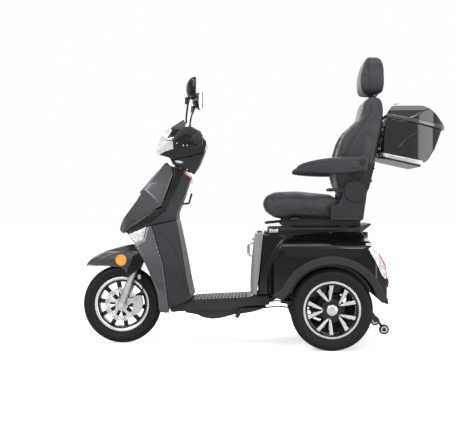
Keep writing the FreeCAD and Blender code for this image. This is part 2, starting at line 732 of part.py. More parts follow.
BODY_SIDE = [(-361, 265), (-361, 470), (-352, 572), (-251, 572), (-221, 562), (-141, 570), (-41, 578),
             (69, 582),
             (159, 580), (219, 490), (259, 415), (271, 350), (276, 300), (276, 232), (239, 242), (194, 283),
             (-276, 270)]
BODY_PLAN = [(-362, 182), (-312, 198), (-306, 296), (-281, 330), (-221, 340), (139, 340), (219, 322),
             (277, 270)]
BODY_FRONT = [(340, 200), (340, 470), (322, 524), (250, 556), (190, 584)]
SEAT_BOX_HALF = 198


def arch_room(extra, inner_y):
    """The two wheel wells, cut from a cross cylinder about the rear axle."""
    low = V(REAR_X, 0, AXLE_Z)
    well = Part.makeCylinder(size("arch_radius") + extra, 300, low + V(0, inner_y - extra, 0), V(0, 1, 0))
    leg = Part.makeBox(2 * (size("arch_radius") + extra), 300, 300,
                       V(REAR_X - size("arch_radius") - extra, inner_y - extra, AXLE_Z - 300))
    return both_sides(well.fuse(leg))


def bulge_room(extra):
    """The space beside the seat box, in front of the raked front faces of the wheel arches."""
    crest = [(-319, 100), (-316, 290), (-301, 400), (-281, 470), (-251, 525), (-221, 545), (-221, 800)]
    outline = aft([(-450, 800), (-450, 100)] + [(x + extra, z) for x, z in crest])
    return both_sides(side_prism(outline, -500, extra - SEAT_BOX_HALF))


def rear_bodywork():
    side = aft(BODY_SIDE)
    plan = aft_plan(BODY_PLAN)
    well_y = WHEEL_Y - size("rear_tyre_width") / 2 - 9
    limits = front_prism(BODY_FRONT, -2000, 2000)
    body = panel(side, WALL, open_edges=(0, 1, 2, 13, 14, 15, 16), plan=plan,
                 room=bulge_room).common(limits)
    solid = side_prism(side, -900, 900).common(plan_prism(plan, 0, 900)).common(limits).cut(bulge_room(0))
    skin = solid.common(arch_room(WALL, well_y))
    roof = solid.cut(front_prism([(y - WALL, z - WALL) for y, z in BODY_FRONT], -2000, 2000))
    body = body.fuse(skin).fuse(roof).cut(arch_room(0, well_y)).removeSplitter()
    for post in shape_of("seat_posts").Solids:
        body = body.cut(post)
    feature("rear_body", largest(body))
    flare_solids()
    deck()


def flare_solids():
    """The matt lips round the wheel arches, which widen to the foot in front and the tail behind."""
    arch = size("arch_radius")
    lip = arch + size("flare_width")
    turns = [math.radians(a) for a in range(160, 19, -10)]
    outer = [(REAR_X + lip * math.cos(a), AXLE_Z + lip * math.sin(a)) for a in turns]
    inner = [(REAR_X + arch * math.cos(a), AXLE_Z + arch * math.sin(a)) for a in turns[::-1]]
    outline = aft([(-292, 272)]) + outer + aft([(249, 285), (272, 262), (276, 232), (239, 241),
                                                (214, 270)]) + inner
    outline = outline + aft([(-241, 250), (-270, 262)])
    left = plate_body("Flare", outline, "Sizes.flare_thickness", f"-(340 + Sizes.flare_thickness / 2)")
    pair_of("wheel_arch_flares", left)


def deck():
    """The tray over the rear body with its raised tail, which carries the seat."""
    low = DECK_LOW
    outline = aft([(-311, low), (159, low), (209, 620), (203, 626), (150, DECK_Z + 4), (100, DECK_Z),
                   (-311, DECK_Z)])
    body = plate_body("TopDeck", outline, "392", "0")
    node(body, "top_deck")


def lamps():
    """Tail lamps that wrap the rear corners, and a round reflector on the tail."""
    wedge = side_prism(aft([(160, 574), (172, 520), (255, 400), (290, 350), (300, 480), (230, 560)]),
                       -900, 900)
    side = aft(BODY_SIDE)
    plan = aft_plan(BODY_PLAN)
    thick = 7
    grown = side_prism(inset(side, [-thick] * len(side)), -900, 900)
    grown = grown.common(plan_prism([(x + (thick if i > 4 else 0), y + thick) for i,
                                     (x, y) in enumerate(plan)], 0, 900))
    core = side_prism(side, -900, 900).common(plan_prism(plan, 0, 900))
    ring = grown.cut(core).common(wedge)
    outboard = Part.makeBox(2000, 400, 900, V(-1000, 190, 0))
    trimmed = ring.common(outboard).common(front_prism([(346, 300), (346, 560)], -2000, 2000))
    lamp = largest(trimmed)
    reflectors = [rod(V(REAR_X + 276, y, 330), V(REAR_X + 290, y, 330), 26) for y in (-205, 205)]
    feature("tail_lamps", Part.makeCompound(both_sides(lamp).Solids + reflectors), ["rear_body"])


def running_gear():
    """The rear axle with its motor block, brake plates and trailing arms; the dampers; the battery."""
    centre = V(REAR_X, 0, AXLE_Z)
    tube_end = WHEEL_Y - 56
    tube = rod(centre + V(0, -tube_end, 0), centre + V(0, tube_end, 0), size("axle_tube_radius"))
    gear = Part.makeSphere(82, centre + V(0, 30, 0))
    motor = rod(centre + V(-40, -20, 0), centre + V(-40, -150, 0), 62)
    parts = [tube, gear, motor]
    for side in (-1, 1):
        face = centre + V(0, side * tube_end, 0)
        parts.append(rod(face, face + V(0, side * 12, 0), 70))
        parts.append(rod(face, centre + V(0, side * (WHEEL_Y + 34), 0), size("rear_axle_radius")))
        parts.append(rod(centre + V(0, side * (WHEEL_Y + 36.5), 0), centre + V(0, side * (WHEEL_Y + 41.5),
                                                                               0), 18))
        parts.append(rod(centre + V(0, side * (WHEEL_Y + 30), 0), centre + V(0, side * (WHEEL_Y + 40), 0),
                         size("rear_axle_radius")))
        parts.append(rod(centre + V(0, side * 150, 0), V(REAR_X - 246, side * 150, 236), 15))
        parts.append(rod(V(REAR_X - 246, side * 150, 236), V(REAR_X - 190, side * 150, 276), 11))
        parts.append(rod(centre + V(0, side * 180, 20), centre + V(0, side * 180, 40), 14))
    feature("rear_axle", united(parts), ["main_frame"])
    damper = []
    for side in (-1, 1):
        foot = centre + V(0, side * 180, 40)
        head = V(REAR_X, side * 180, BEAM_Z)
        spring_low = foot + V(0, 0, 40)
        damper.append(united([rod(foot, head, 11), rod(spring_low, head - V(0, 0, 22), 24)]))
    feature("rear_shocks", Part.makeCompound(damper), ["seat_posts"])
    box = doc.addObject("Part::Box", "Battery")
    box.Length = 210
    box.Width = 200
    box.Height = 190
    box.setExpression("Placement.Base.x", REAR_X_CELL + " - 330")
    box.Placement.Base.y = -100
    box.Placement.Base.z = 306.3
    node(box, "battery_pack")


def anti_tip_bar():
    """Two arms from the rear rails that carry the small wheels behind the tail."""
    spacing = size("anti_tip_spacing") / 2
    height = size("anti_tip_height")
    rail = size("rail_spacing") / 2
    wheel_x = REAR_X + 269
    arms = [rod(V(REAR_X + 196, -spacing, 200), V(REAR_X + 196, spacing, 200), 12)]
    for side in (-1, 1):
        inner = side * (spacing - size("anti_tip_width") / 2 - 7)
        arms.append(pipe([V(REAR_X + 180, side * (rail + 30), 276), V(REAR_X + 180, side * (rail + 30),
                                                                      215),
                          V(REAR_X + 196, side * (rail + 30), 200)], 11, 8))
        arms.append(rod(V(REAR_X + 196, inner, 200), V(wheel_x, inner, height), 6.5))
        reach = side * (spacing + size("anti_tip_width") / 2 + 6)
        arms.append(rod(V(wheel_x, inner, height), V(wheel_x, reach, height), 5))
        arms.append(rod(V(wheel_x, reach, height), V(wheel_x, reach + side * 4, height), 9))
    feature("anti_tip_bar", united(arms), ["main_frame"])


def brake_cables():
    """The rear brake cables, from the tray beneath the floor to the brake plates."""
    y = size("floor_width") / 2 - 26
    plate_y = WHEEL_Y - 56
    points = [V(REAR_X - 331, -y, 196), V(REAR_X - 262, -y - 6, 206), V(REAR_X - 202, -y - 22, 200),
              V(REAR_X - 142, -y - 52, 192), V(REAR_X - 60, -plate_y + 6, 196)]
    path = pipe(points, 3.5, 60)
    cable = largest(path.cut(shape_of("belly_pan")).cut(shape_of("rear_axle")))
    feature("brake_cables", both_sides(cable))


def seat_box_door():
    """The curved front door of the battery box, hinged along its bottom edge, with its latch."""
    outer = aft([(-368, 580), (-379, 558), (-392, 450), (-401, 335), (-401, 292), (-396, 270), (-389, 264),
                 (-373, 270)])
    inner = aft([(-368, 276), (-380, 283), (-396, 296), (-396, 335), (-387, 450), (-374, 556), (-367, 576)])
    skin = side_prism(outer + inner, -182, 182)
    ribs = [side_prism(outer[1:5] + aft([(-368, 292), (-367, 450), (-368, 556)]), y, y + 5)
            for y in (-182, 177)]
    grip = pipe([V(REAR_X - 386, 0, 520), V(REAR_X - 408, 0, 514), V(REAR_X - 411, 0, 462),
                 V(REAR_X - 389, 0, 456)],
                5, 9)
    hinge_low = V(REAR_X - 392, -140, 268)
    hinge_high = V(REAR_X - 392, 140, 268)
    knuckle = rod(hinge_low, hinge_high, 5)
    inside = side_prism(outer[:1] + inner[::-1], -200, 200)
    door = united([skin, knuckle] + ribs).fuse(grip.cut(inside))
    beyond = V(0, 2, 0)
    bore = rod(hinge_low - beyond, hinge_high + beyond, 3 + size("running_clearance"))
    for y in (-157, 141):
        door = door.cut(Part.makeBox(36, 16, 28, V(REAR_X - 404, y, 255)))
    feature("seat_box_door", largest(door.cut(bore)))
    pin = rod(hinge_low - V(0, 12, 0), hinge_high + V(0, 12, 0), 3)
    ears = [Part.makeBox(9, 6, 17, V(REAR_X - 396.5, y, 255)) for y in (-152, 146)]
    feature("door_hinge", largest(united([pin] + ears).cut(shape_of("floor_board"))))


# ---------------------------------------------------------------- seat

PIVOT_Z = size("pivot_height")
PLATE_Y = size("seat_width") / 2 + 12


def seat_runners():
    """Fixed rails bolted to the deck; the seat slides along them."""
    rails = []
    for side in (-1, 1):
        y = side * 150
        foot_front = Part.makeBox(40, 50, 10, V(REAR_X - 230, y - 25, DECK_Z))
        foot_rear = Part.makeBox(40, 50, 10, V(REAR_X + 50, y - 25, DECK_Z))
        rail = Part.makeBox(400, 34, 24, V(REAR_X - 246, y - 17, 614))
        feet = [foot_front, foot_rear]
        rails.append(united([rail] + feet))
    feature("seat_rails", Part.makeCompound(rails))


def seat_frame():
    """The sliding frame: runners, cross bars, recliner plates with their pins, and the release bar."""
    parts = []
    for side in (-1, 1):
        y = side * 150
        parts.append(Part.makeBox(400, 40, 15, V(REAR_X - 240, y - 20, 638.5)))
    for x in (REAR_X - 200, REAR_X + 60):
        parts.append(Part.makeBox(40, 2 * PLATE_Y, 10, V(x, -PLATE_Y, 645)))
    parts.append(Part.makeBox(150, 2 * PLATE_Y, 8, V(REAR_X + 5, -PLATE_Y, 647)))
    plate_side = aft([(-1, 712), (-1, 645), (159, 645), (174, 760), (172, 800), (160, 826), (119, 842),
                      (82, 826),
                      (64, 800), (56, 760), (34, 722)])
    thick = size("plate_thickness")
    for side in (-1, 1):
        low = side * PLATE_Y - thick / 2
        parts.append(side_prism(plate_side, low, low + thick))
        parts.append(rod(V(REAR_X + 119, side * (PLATE_Y - 22), PIVOT_Z), V(REAR_X + 119,
                                                                            side * (PLATE_Y + 12), PIVOT_Z),
                         size("pivot_radius")))
        parts.append(rod(V(REAR_X + 119, side * (PLATE_Y + 2), PIVOT_Z), V(REAR_X + 119,
                                                                           side * (PLATE_Y + 14), PIVOT_Z),
                         50))
    lever = Part.makeBox(52, 8, 14, V(REAR_X - 20, -PLATE_Y - 10, 786))
    lever_arm = Part.makeBox(70, 6, 12, V(REAR_X + 20, -PLATE_Y - 8, 783))
    bar = pipe([V(REAR_X - 170, -118, 641), V(REAR_X - 322, -118, 626), V(REAR_X - 322, 118, 626),
                V(REAR_X - 170, 118, 641)], 5, 24)
    feature("seat_frame", united(parts + [lever, lever_arm, bar]))


CUSHION_SIDE = [(-341, 728), (-332, 758), (-311, 775), (-281, 780), (-161, 783), (-41, 770), (6, 764),
                (34, 752), (46, 738),
                (48, 690), (40, size("seat_bottom")), (-291, size("seat_bottom")), (-321, 680), (-336, 700)]
BACK_SIDE = [(24, 868), (34, 950), (44, 990), (59, 1040), (79, 1075), (109, 1110), (159, 1160), (174, 1220),
             (189, 1265), (204, 1278), (249, 1270), (264, 1240), (262, 1160), (244, 1050), (219, 930),
             (189, 800),
             (169, 750), (140, 712), (98, 712), (66, 760), (40, 820)]


def soft_parts():
    """Closed outer shapes of the cushion, the backrest, the headrest and the arm pads."""
    cushion = plate_body("Cushion", aft(CUSHION_SIDE), "Sizes.seat_width", "0")
    node(cushion, "seat_cushion")
    back = side_prism(aft(BACK_SIDE), -size("back_width") / 2, size("back_width") / 2)
    waist = front_prism([(size("back_width") / 2 - 16, 600), (size("back_width") / 2, 860),
                         (size("back_width") / 2, 1080), (size("back_width") / 2 - 30, 1200),
                         (size("back_width") / 2 - 70, 1280)], -2000, 2000)
    ear_room = [Part.makeBox(160, 40, 200, V(REAR_X + 60, side * (size("back_width") / 2) - 20, 690))
                for side in (-1, 1)]
    back = back.common(waist)
    for side in (-1, 1):
        back = back.cut(post_rod(side, -40, 400, size("post_radius") + 1))
    back = back.cut(shell_room()).cut(shape_of("backrest_frame"))
    for room in ear_room:
        back = back.cut(room)
    feature("backrest_cushion", largest(back))


def post_rod(side, low, high, radius):
    """A headrest post, measured up the backrest's lean from 1180 above ground."""
    lean = V(math.sin(math.radians(6)), 0, math.cos(math.radians(6)))
    foot = V(REAR_X + 222, side * size("post_spacing") / 2, 1200)
    return rod(foot + lean * (low - 60), foot + lean * (high - 60), radius)


def shell_room():
    """The space of the pressed back panel, behind and beside the cushion."""
    return side_prism(aft([(189, 800), (219, 930), (244, 1050), (262, 1160), (262, 1200), (246, 1200),
                           (232, 1060),
                           (207, 935), (177, 806)]), -150, 150)


def backrest_frame():
    """The steel back: a pressed panel, an ear at each pivot and a bolt for each armrest."""
    sheet_side = aft([(189, 800), (219, 930), (244, 1050), (262, 1160), (262, 1199), (248, 1199),
                      (234, 1060),
                      (209, 935), (179, 806)])
    parts = [side_prism(sheet_side, -148, 148)]
    ear_side = aft([(90, 770), (96, 808), (119, 820), (150, 860), (172, 905), (215, 930), (219, 926),
                    (189, 800),
                    (165, 765), (139, 758), (104, 758)])
    thick = size("plate_thickness")
    ear_y = PLATE_Y - 14
    pivot = V(REAR_X + 119, 0, PIVOT_Z)
    for side in (-1, 1):
        low = side * ear_y - thick / 2
        ear = side_prism(ear_side, low, low + thick)
        parts.append(ear)
        arm_bolt = V(REAR_X + 147, 0, 925)
        parts.append(rod(arm_bolt + V(0, side * (ear_y - 4), 0), arm_bolt + V(0, side * (ARM_Y + 34), 0),
                         size("arm_bolt_radius")))
        bracket = aft([(110, 850), (150, 856), (176, 905), (170, 942), (140, 946), (128, 915), (106, 880)])
        parts.append(side_prism(bracket, low, low + thick))
    for x, z in ((202, 838), (214, 900)):
        at = V(REAR_X + x, 0, z)
        parts.append(rod(at + V(-4, -ear_y, 0), at + V(-4, ear_y, 0), 7))
    whole = united(parts)
    bore = rod(pivot + V(0, -400, 0), pivot + V(0, 400, 0), size("pivot_radius") +
               size("running_clearance"))
    feature("backrest_frame", whole.cut(bore))


ARM_Y = size("seat_width") / 2 + 54
ARM_SIDE = [(-176, 893), (-168, 908), (-141, 924), (-81, 939), (-21, 948), (49, 951), (129, 955),
            (172, 958),
            (172, 890), (159, 886), (24, 871), (-81, 875), (-161, 881)]


def armrest(side, word):
    """A padded arm that lifts on its bolt."""
    name = "Arm" + word
    body = plate_body(name, aft(ARM_SIDE), "Sizes.arm_width", f"{side * ARM_Y}")
    doc.recompute()
    hole = doc.addObject("Part::Cylinder", name + "Hole")
    hole.setExpression("Radius", "Sizes.arm_bolt_radius + Sizes.running_clearance")
    hole.Height = 200
    hole.Placement = FreeCAD.Placement(V(REAR_X + 147, side * ARM_Y + 100, 925),
                                       FreeCAD.Rotation(V(1, 0, 0), 90))
    cut = doc.addObject("Part::Cut", name + "Drilled")
    cut.Base = body
    cut.Tool = hole
    node(cut, f"armrest_{word}")


def headrest():
    side = aft([(163, 1300), (172, 1390), (184, 1452), (204, 1474), (236, 1474), (262, 1440), (274, 1380),
                (276, 1320),
                (262, 1290), (200, 1284), (176, 1286)])
    half = size("rest_width") / 2
    pad = side_prism(side, -half, half)
    pad = pad.common(front_prism([(half - 22, 1280), (half, 1320), (half, 1410), (half - 34, 1480)],
                                 -2000, 2000))
    posts = [post_rod(s, 0, 200, size("post_radius")) for s in (-1, 1)]
    feature("headrest", united([pad] + posts))


# ---------------------------------------------------------------- rack and top box

BOX_PLAN = [(246, 150), (262, 188), (300, 205), (400, 205), (490, 186), (550, 146), (589, 60)]


def rack():
    """The tube rack bolted to the seat's back panel, with the plate under the box."""
    parts = []
    radius = size("rack_tube_radius")
    for side in (-1, 1):
        y = side * 96
        parts.append(pipe([V(REAR_X + 267, y, 1138), V(REAR_X + 240, y, 976), V(REAR_X + 262, y, 957),
                           V(REAR_X + 440, y, 922)], radius, 14))
    for x, z in ((262, 1110), (246, 1012), (300, 949), (430, 924)):
        parts.append(rod(V(REAR_X + x, -96, z), V(REAR_X + x, 96, z), radius - 1))
    parts.append(side_prism(aft([(234, 957), (300, 943), (458, 911), (458, 934), (300, 965), (262, 975)]),
                            -70, 70))
    for z in (1000, 1090):
        x = 244 + (z - 1000) * 0.164
        for side in (-1, 1):
            parts.append(rod(V(REAR_X + x, side * 96, z), V(REAR_X + x - 34, side * 96, z - 2), 6))
    rack_shape = united(parts).cut(shape_of("backrest_frame")).cut(shape_of("top_box"))
    feature("box_rack", largest(rack_shape))


def top_box():
    side = aft([(281, 1157), (253, 985), (266, 972), (300, 963), (470, 930), (486, 942), (526, 1000),
                (568, 1098)])
    wall = size("box_wall")
    box = panel(side, wall, open_edges=(7,), plan=aft_plan(BOX_PLAN))
    feature("top_box", largest(box))
    lid_side = aft([(279, 1157.8), (278, 1172), (288, 1187), (309, 1215), (349, 1230), (399, 1234),
                    (469, 1217),
                    (525, 1182), (562, 1143), (589, 1118), (583, 1095.3)])
    lid = panel(lid_side, wall, open_edges=(10,), plan=aft_plan([(x + (4 if x > 500 else 0), y + 4) for x,
                                                                 y in
                                                              BOX_PLAN]))
    handle = side_prism(aft([(338, 1226), (342, 1241), (432, 1241), (438, 1222)]), -42, 42)
    lid = lid.fuse(handle.cut(side_prism(inset(lid_side, [wall] * 11), -400, 400)))
    barrel = rod(V(REAR_X + 276, -40, 1160.5), V(REAR_X + 276, 40, 1160.5), 4)
    feature("top_box_lid", largest(lid.fuse(barrel)))


def build():
    front_wheel()
    for side, word in ((-1, "left"), (1, "right")):
        rear_wheel(side, word)
        anti_tip_wheel(side, word)
        armrest(side, word)
    fork_parts()
    front_fender()
    brake_caliper()
    handlebar()
    mirrors()
    head_cowl()
    frame()
    front_bodywork()
    floor()
    rear_bodywork()
    lamps()
    running_gear()
    anti_tip_bar()
    brake_cables()
    seat_box_door()
    seat_runners()
    seat_frame()
    backrest_frame()
    soft_parts()
    headrest()
    top_box()
    rack()


def check_and_write():
    """Stops on a failed object or a bad shape; otherwise writes each piece to its own file."""
    doc.recompute()
    for item in doc.Objects:
        if "Invalid" in item.State or "Error" in item.State:
            raise RuntimeError(f"{item.Name} did not build: {item.State}")
    for item in NODES:
        if item.Shape.isNull() or not item.Shape.isValid():
            raise RuntimeError(f"{item.Label} has no valid shape")
    os.makedirs("parts", exist_ok=True)
    for item in NODES:
        item.Shape.exportStep(f"parts/{item.Label}.step")
        print(item.Label, len(item.Shape.Solids), round(item.Shape.Volume / 1000), "cm3")


build()
check_and_write()
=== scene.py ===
"""The looks of the electric tricycle: bodywork, upholstery, wheels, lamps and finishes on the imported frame.

Shapes are written in millimetres in the frame's own axes: -X forwards, -Y the left side, +Z up.
"""
import math
import bmesh
import bpy
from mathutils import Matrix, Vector
from mathutils.bvhtree import BVHTree


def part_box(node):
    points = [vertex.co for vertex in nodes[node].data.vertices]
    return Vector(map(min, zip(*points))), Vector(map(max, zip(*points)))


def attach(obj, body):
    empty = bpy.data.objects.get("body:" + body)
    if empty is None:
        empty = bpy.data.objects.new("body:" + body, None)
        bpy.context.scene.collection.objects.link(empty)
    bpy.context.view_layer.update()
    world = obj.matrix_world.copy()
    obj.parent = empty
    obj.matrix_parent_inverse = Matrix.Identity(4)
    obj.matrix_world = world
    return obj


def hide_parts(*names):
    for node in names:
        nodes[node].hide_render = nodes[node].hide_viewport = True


MM = 0.001
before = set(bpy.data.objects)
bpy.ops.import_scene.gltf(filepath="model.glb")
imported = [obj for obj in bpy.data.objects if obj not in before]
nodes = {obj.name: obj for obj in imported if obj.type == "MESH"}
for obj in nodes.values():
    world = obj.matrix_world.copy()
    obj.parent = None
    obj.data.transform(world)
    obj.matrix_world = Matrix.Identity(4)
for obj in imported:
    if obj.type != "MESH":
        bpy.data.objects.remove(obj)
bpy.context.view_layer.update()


def middle_of(node):
    """A CAD node's centre in millimetres."""
    low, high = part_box(node)
    return (low + high) / 2 / MM


FRONT = middle_of("front_tyre")
REAR_LEFT = middle_of("rear_tyre_left")
REAR_RIGHT = middle_of("rear_tyre_right")
TYRE_RADIUS = (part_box("front_tyre")[1].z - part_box("front_tyre")[0].z) / 2 / MM
RIM_RADIUS = (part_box("front_rim")[1].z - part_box("front_rim")[0].z) / 2 / MM
DECK_TOP = 606
SHELL_WALL = 3
RAKE = math.radians(21.5)


def fore(points):
    """Side-view points measured from the front axle."""
    return [(FRONT.x + dx, z) for dx, z in points]


def aft(points):
    """Side-view points measured from the rear axle."""
    return [(REAR_LEFT.x + dx, z) for dx, z in points]


# ---------------------------------------------------------------- making meshes

def link(name, data):
    """A mesh, lamp or camera as an object in the scene."""
    obj = bpy.data.objects.new(name, data)
    bpy.context.scene.collection.objects.link(obj)
    return obj


def edit(mesh, change):
    """Passes a mesh through an editing function."""
    work = bmesh.new()
    work.from_mesh(mesh)
    change(work)
    work.to_mesh(mesh)
    work.free()


def solid(verts, faces):
    """A mesh object from millimetre points, with its faces turned outwards."""
    mesh = bpy.data.meshes.new("solid")
    mesh.from_pydata([Vector(v) * MM for v in verts], [], faces)
    edit(mesh, lambda work: bmesh.ops.recalc_face_normals(work, faces=work.faces))
    return link("solid", mesh)


def place(axis, a, b, along):
    """A point from two coordinates across an axis and one along it."""
    if axis == "X":
        return (along, a, b)
    if axis == "Y":
        return (a, along, b)
    return (a, b, along)


def prism(outline, low, high, axis="Y"):
    """A closed solid: a flat outline stretched along an axis."""
    count = len(outline)
    verts = [place(axis, a, b, low) for a, b in outline] + [place(axis, a, b, high) for a, b in outline]
    sides = [(i, (i + 1) % count, (i + 1) % count + count, i + count) for i in range(count)]
    return solid(verts, [tuple(range(count)), tuple(range(count, 2 * count))] + sides)


def mirrored_outline(half):
    """A whole plan outline from its right half, (station, half width)."""
    return half + [(x, -y) for x, y in reversed(half)]


def front_outline(half):
    """A whole front outline from its right half, (half width, height)."""
    return half + [(-y, z) for y, z in reversed(half)]


def plan_prism(half, low, high):
    """A closed solid from half a plan outline, between two heights."""
    return prism(mirrored_outline(half), low, high, "Z")


def front_prism(half, low, high):
    """A closed solid from half a front outline, between two stations."""
    return prism(front_outline(half), low, high, "X")


def rounded(points, steps=6, closed=True):
    """A smooth curve through the points (Catmull-Rom)."""
    count = len(points)
    result = []
    last = count if closed else count - 1
    for i in range(last):
        if closed:
            p = [points[(i + k - 1) % count] for k in range(4)]
        else:
            p = [points[min(max(i + k - 1, 0), count - 1)] for k in range(4)]
        p = [Vector(q) for q in p]
        for step in range(steps):
            t = step / steps
            result.append(tuple(0.5 * (2 * p[1] + (p[2] - p[0]) * t + (2 * p[0] - 5 * p[1] +
                                                                       4 * p[2] - p[3]) * t ** 2
                                       + (3 * p[1] - p[0] - 3 * p[2] + p[3]) * t ** 3)))
    if not closed:
        result.append(tuple(points[-1]))
    return result


def curve(points, steps):
    """A smooth open curve through the points."""
    return rounded(points, steps, closed=False)


def modify(obj, kind, **settings):
    """Adds a modifier with its settings."""
    step = obj.modifiers.new(kind.title(), kind)
    for key, value in settings.items():
        setattr(step, key, value)


def bake(obj):
    """Makes the modifiers' result the object's own mesh."""
    graph = bpy.context.evaluated_depsgraph_get()
    mesh = bpy.data.meshes.new_from_object(obj.evaluated_get(graph))
    obj.modifiers.clear()
    obj.data = mesh
    return obj


def combine(base, tool, operation):
    """Cuts, limits or joins a solid with another, which is used up."""
    modify(base, "BOOLEAN", operation=operation, solver="EXACT", object=tool)
    bake(base)
    bpy.data.objects.remove(tool)
    return base


def joined(objects):
    """Several mesh objects as one."""
    work = bmesh.new()
    for obj in objects:
        work.from_mesh(obj.data)
    mesh = bpy.data.meshes.new("joined")
    work.to_mesh(mesh)
    work.free()
    for slot in objects[0].data.materials:
        mesh.materials.append(slot)
    for obj in objects:
        bpy.data.objects.remove(obj)
    return link("joined", mesh)


def cylinder(start, end, radius, sides=32, end_radius=None):
    """A capped round bar between two millimetre points."""
    start = Vector(start)
    end = Vector(end)
    along = (end - start).normalized()
    across = along.orthogonal().normalized()
    up = along.cross(across)
    verts = []
    for centre, r in ((start, radius), (end, radius if end_radius is None else end_radius)):
        for i in range(sides):
            turn = 2 * math.pi * i / sides
            verts.append(centre + (across * math.cos(turn) + up * math.sin(turn)) * r)
    faces = [tuple(range(sides)), tuple(range(sides, 2 * sides))]
    faces += [(i, (i + 1) % sides, (i + 1) % sides + sides, i + sides) for i in range(sides)]
    return solid(verts, faces)


def turned(centre, profile, sides=96, closed=False):
    """A surface turned about the cross axis through a centre; the profile is (radius, offset) points."""
    verts = []
    for i in range(sides):
        turn = 2 * math.pi * i / sides
        for radius, offset in profile:
            verts.append((centre.x + radius * math.cos(turn), centre.y + offset, centre.z +
                          radius * math.sin(turn)))
    count = len(profile)
    runs = count if closed else count - 1
    faces = []
    for i in range(sides):
        for k in range(runs):
            a, b = i * count + k, i * count + (k + 1) % count
            c, d = ((i + 1) % sides) * count + (k + 1) % count, ((i + 1) % sides) * count + k
            faces.append((a, b, c, d))
    return solid(verts, faces)


def tube(points, radius, steps=6, closed=False, sides=12):
    """A bent round bar along a smooth curve through millimetre points."""
    path = [Vector(p) for p in rounded([tuple(p) for p in points], steps, closed)]
    rings = []
    normal = None
    count = len(path)
    for i, point in enumerate(path):
        ahead = path[(i + 1) % count] if closed or i + 1 < count else point
        behind = path[i - 1] if closed or i > 0 else point
        along = (ahead - behind).normalized()
        if normal is None:
            normal = along.orthogonal().normalized()
        normal = (normal - along * normal.dot(along)).normalized()
        side = along.cross(normal)
        rings.append([point + (normal * math.cos(t) + side * math.sin(t)) * radius
                      for t in (2 * math.pi * k / sides for k in range(sides))])
    verts = [v for ring in rings for v in ring]
    faces = []
    for i in range(count if closed else count - 1):
        for k in range(sides):
            j = (i + 1) % count
            faces.append((i * sides + k, i * sides + (k + 1) % sides, j * sides + (k + 1) % sides, j * sides +
                          k))
    if not closed:
        faces.append(tuple(range(sides)))
        faces.append(tuple(range((count - 1) * sides, count * sides)))
    return solid(verts, faces)


def moulded(shape, voxel=4, rounds=8, open_below=None):
    """Rounds a solid as a moulding: even remesh, then relaxed edges; it may be left open below as a shell."""
    modify(shape, "REMESH", mode="VOXEL", voxel_size=voxel * MM)
    modify(shape, "SMOOTH", factor=0.5, iterations=rounds)
    bake(shape)
    if open_below is not None:
        def open_up(work):
            gone = [f for f in work.faces if f.normal.z < -0.6 and f.calc_center_median().z < open_below * MM]
            bmesh.ops.delete(work, geom=gone, context="FACES")
        edit(shape.data, open_up)
        modify(shape, "SOLIDIFY", thickness=SHELL_WALL * MM, offset=-1)
        bake(shape)
    shape.data.shade_smooth()
    return shape


def bevelled(obj, width=1.5, segments=3):
    """Breaks an object's hard edges."""
    modify(obj, "BEVEL", width=width * MM, segments=segments, limit_method="ANGLE",
           angle_limit=math.radians(30), harden_normals=False)
    return obj


def shaded(obj, angle=35):
    """Smooth shading with hard edges kept where faces meet at more than the angle."""
    def mark(work):
        for edge in work.edges:
            if len(edge.link_faces) == 2:
                edge.smooth = edge.calc_face_angle(0) < math.radians(angle)
    obj.data.shade_smooth()
    edit(obj.data, mark)
    return obj


def hardware(parts, width, segments=3):
    """Small parts as one mesh, with their hard edges kept and broken."""
    return bevelled(shaded(joined(parts)), width, segments)


def piece(obj, name, body, slot, material, *replaced):
    """Names a finished mesh, gives it its finish and fixes it to its body."""
    obj.name = name
    obj.data.materials.clear()
    obj.data.materials.append(material)
    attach(obj, body)
    if replaced:
        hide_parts(*replaced)
    return obj


def pair(left):
    """A copy of a left-hand mesh on the right, joined to it."""
    def reflect(work):
        for vert in work.verts:
            vert.co.y = -vert.co.y
        bmesh.ops.reverse_faces(work, faces=work.faces)
    mesh = left.data.copy()
    edit(mesh, reflect)
    return joined([left, link("right", mesh)])


# ---------------------------------------------------------------- finishes

def shader_node(tree, kind, values, links):
    """A shader node with some inputs set and others wired from sockets."""
    made = tree.nodes.new("ShaderNode" + kind)
    return set_node(tree, made, values, links)


def set_node(tree, made, values, links):
    """Sets some of a node's inputs and wires others."""
    for key, value in values.items():
        made.inputs[key].default_value = value
    for key, socket in links.items():
        tree.links.new(socket, made.inputs[key])
    return made


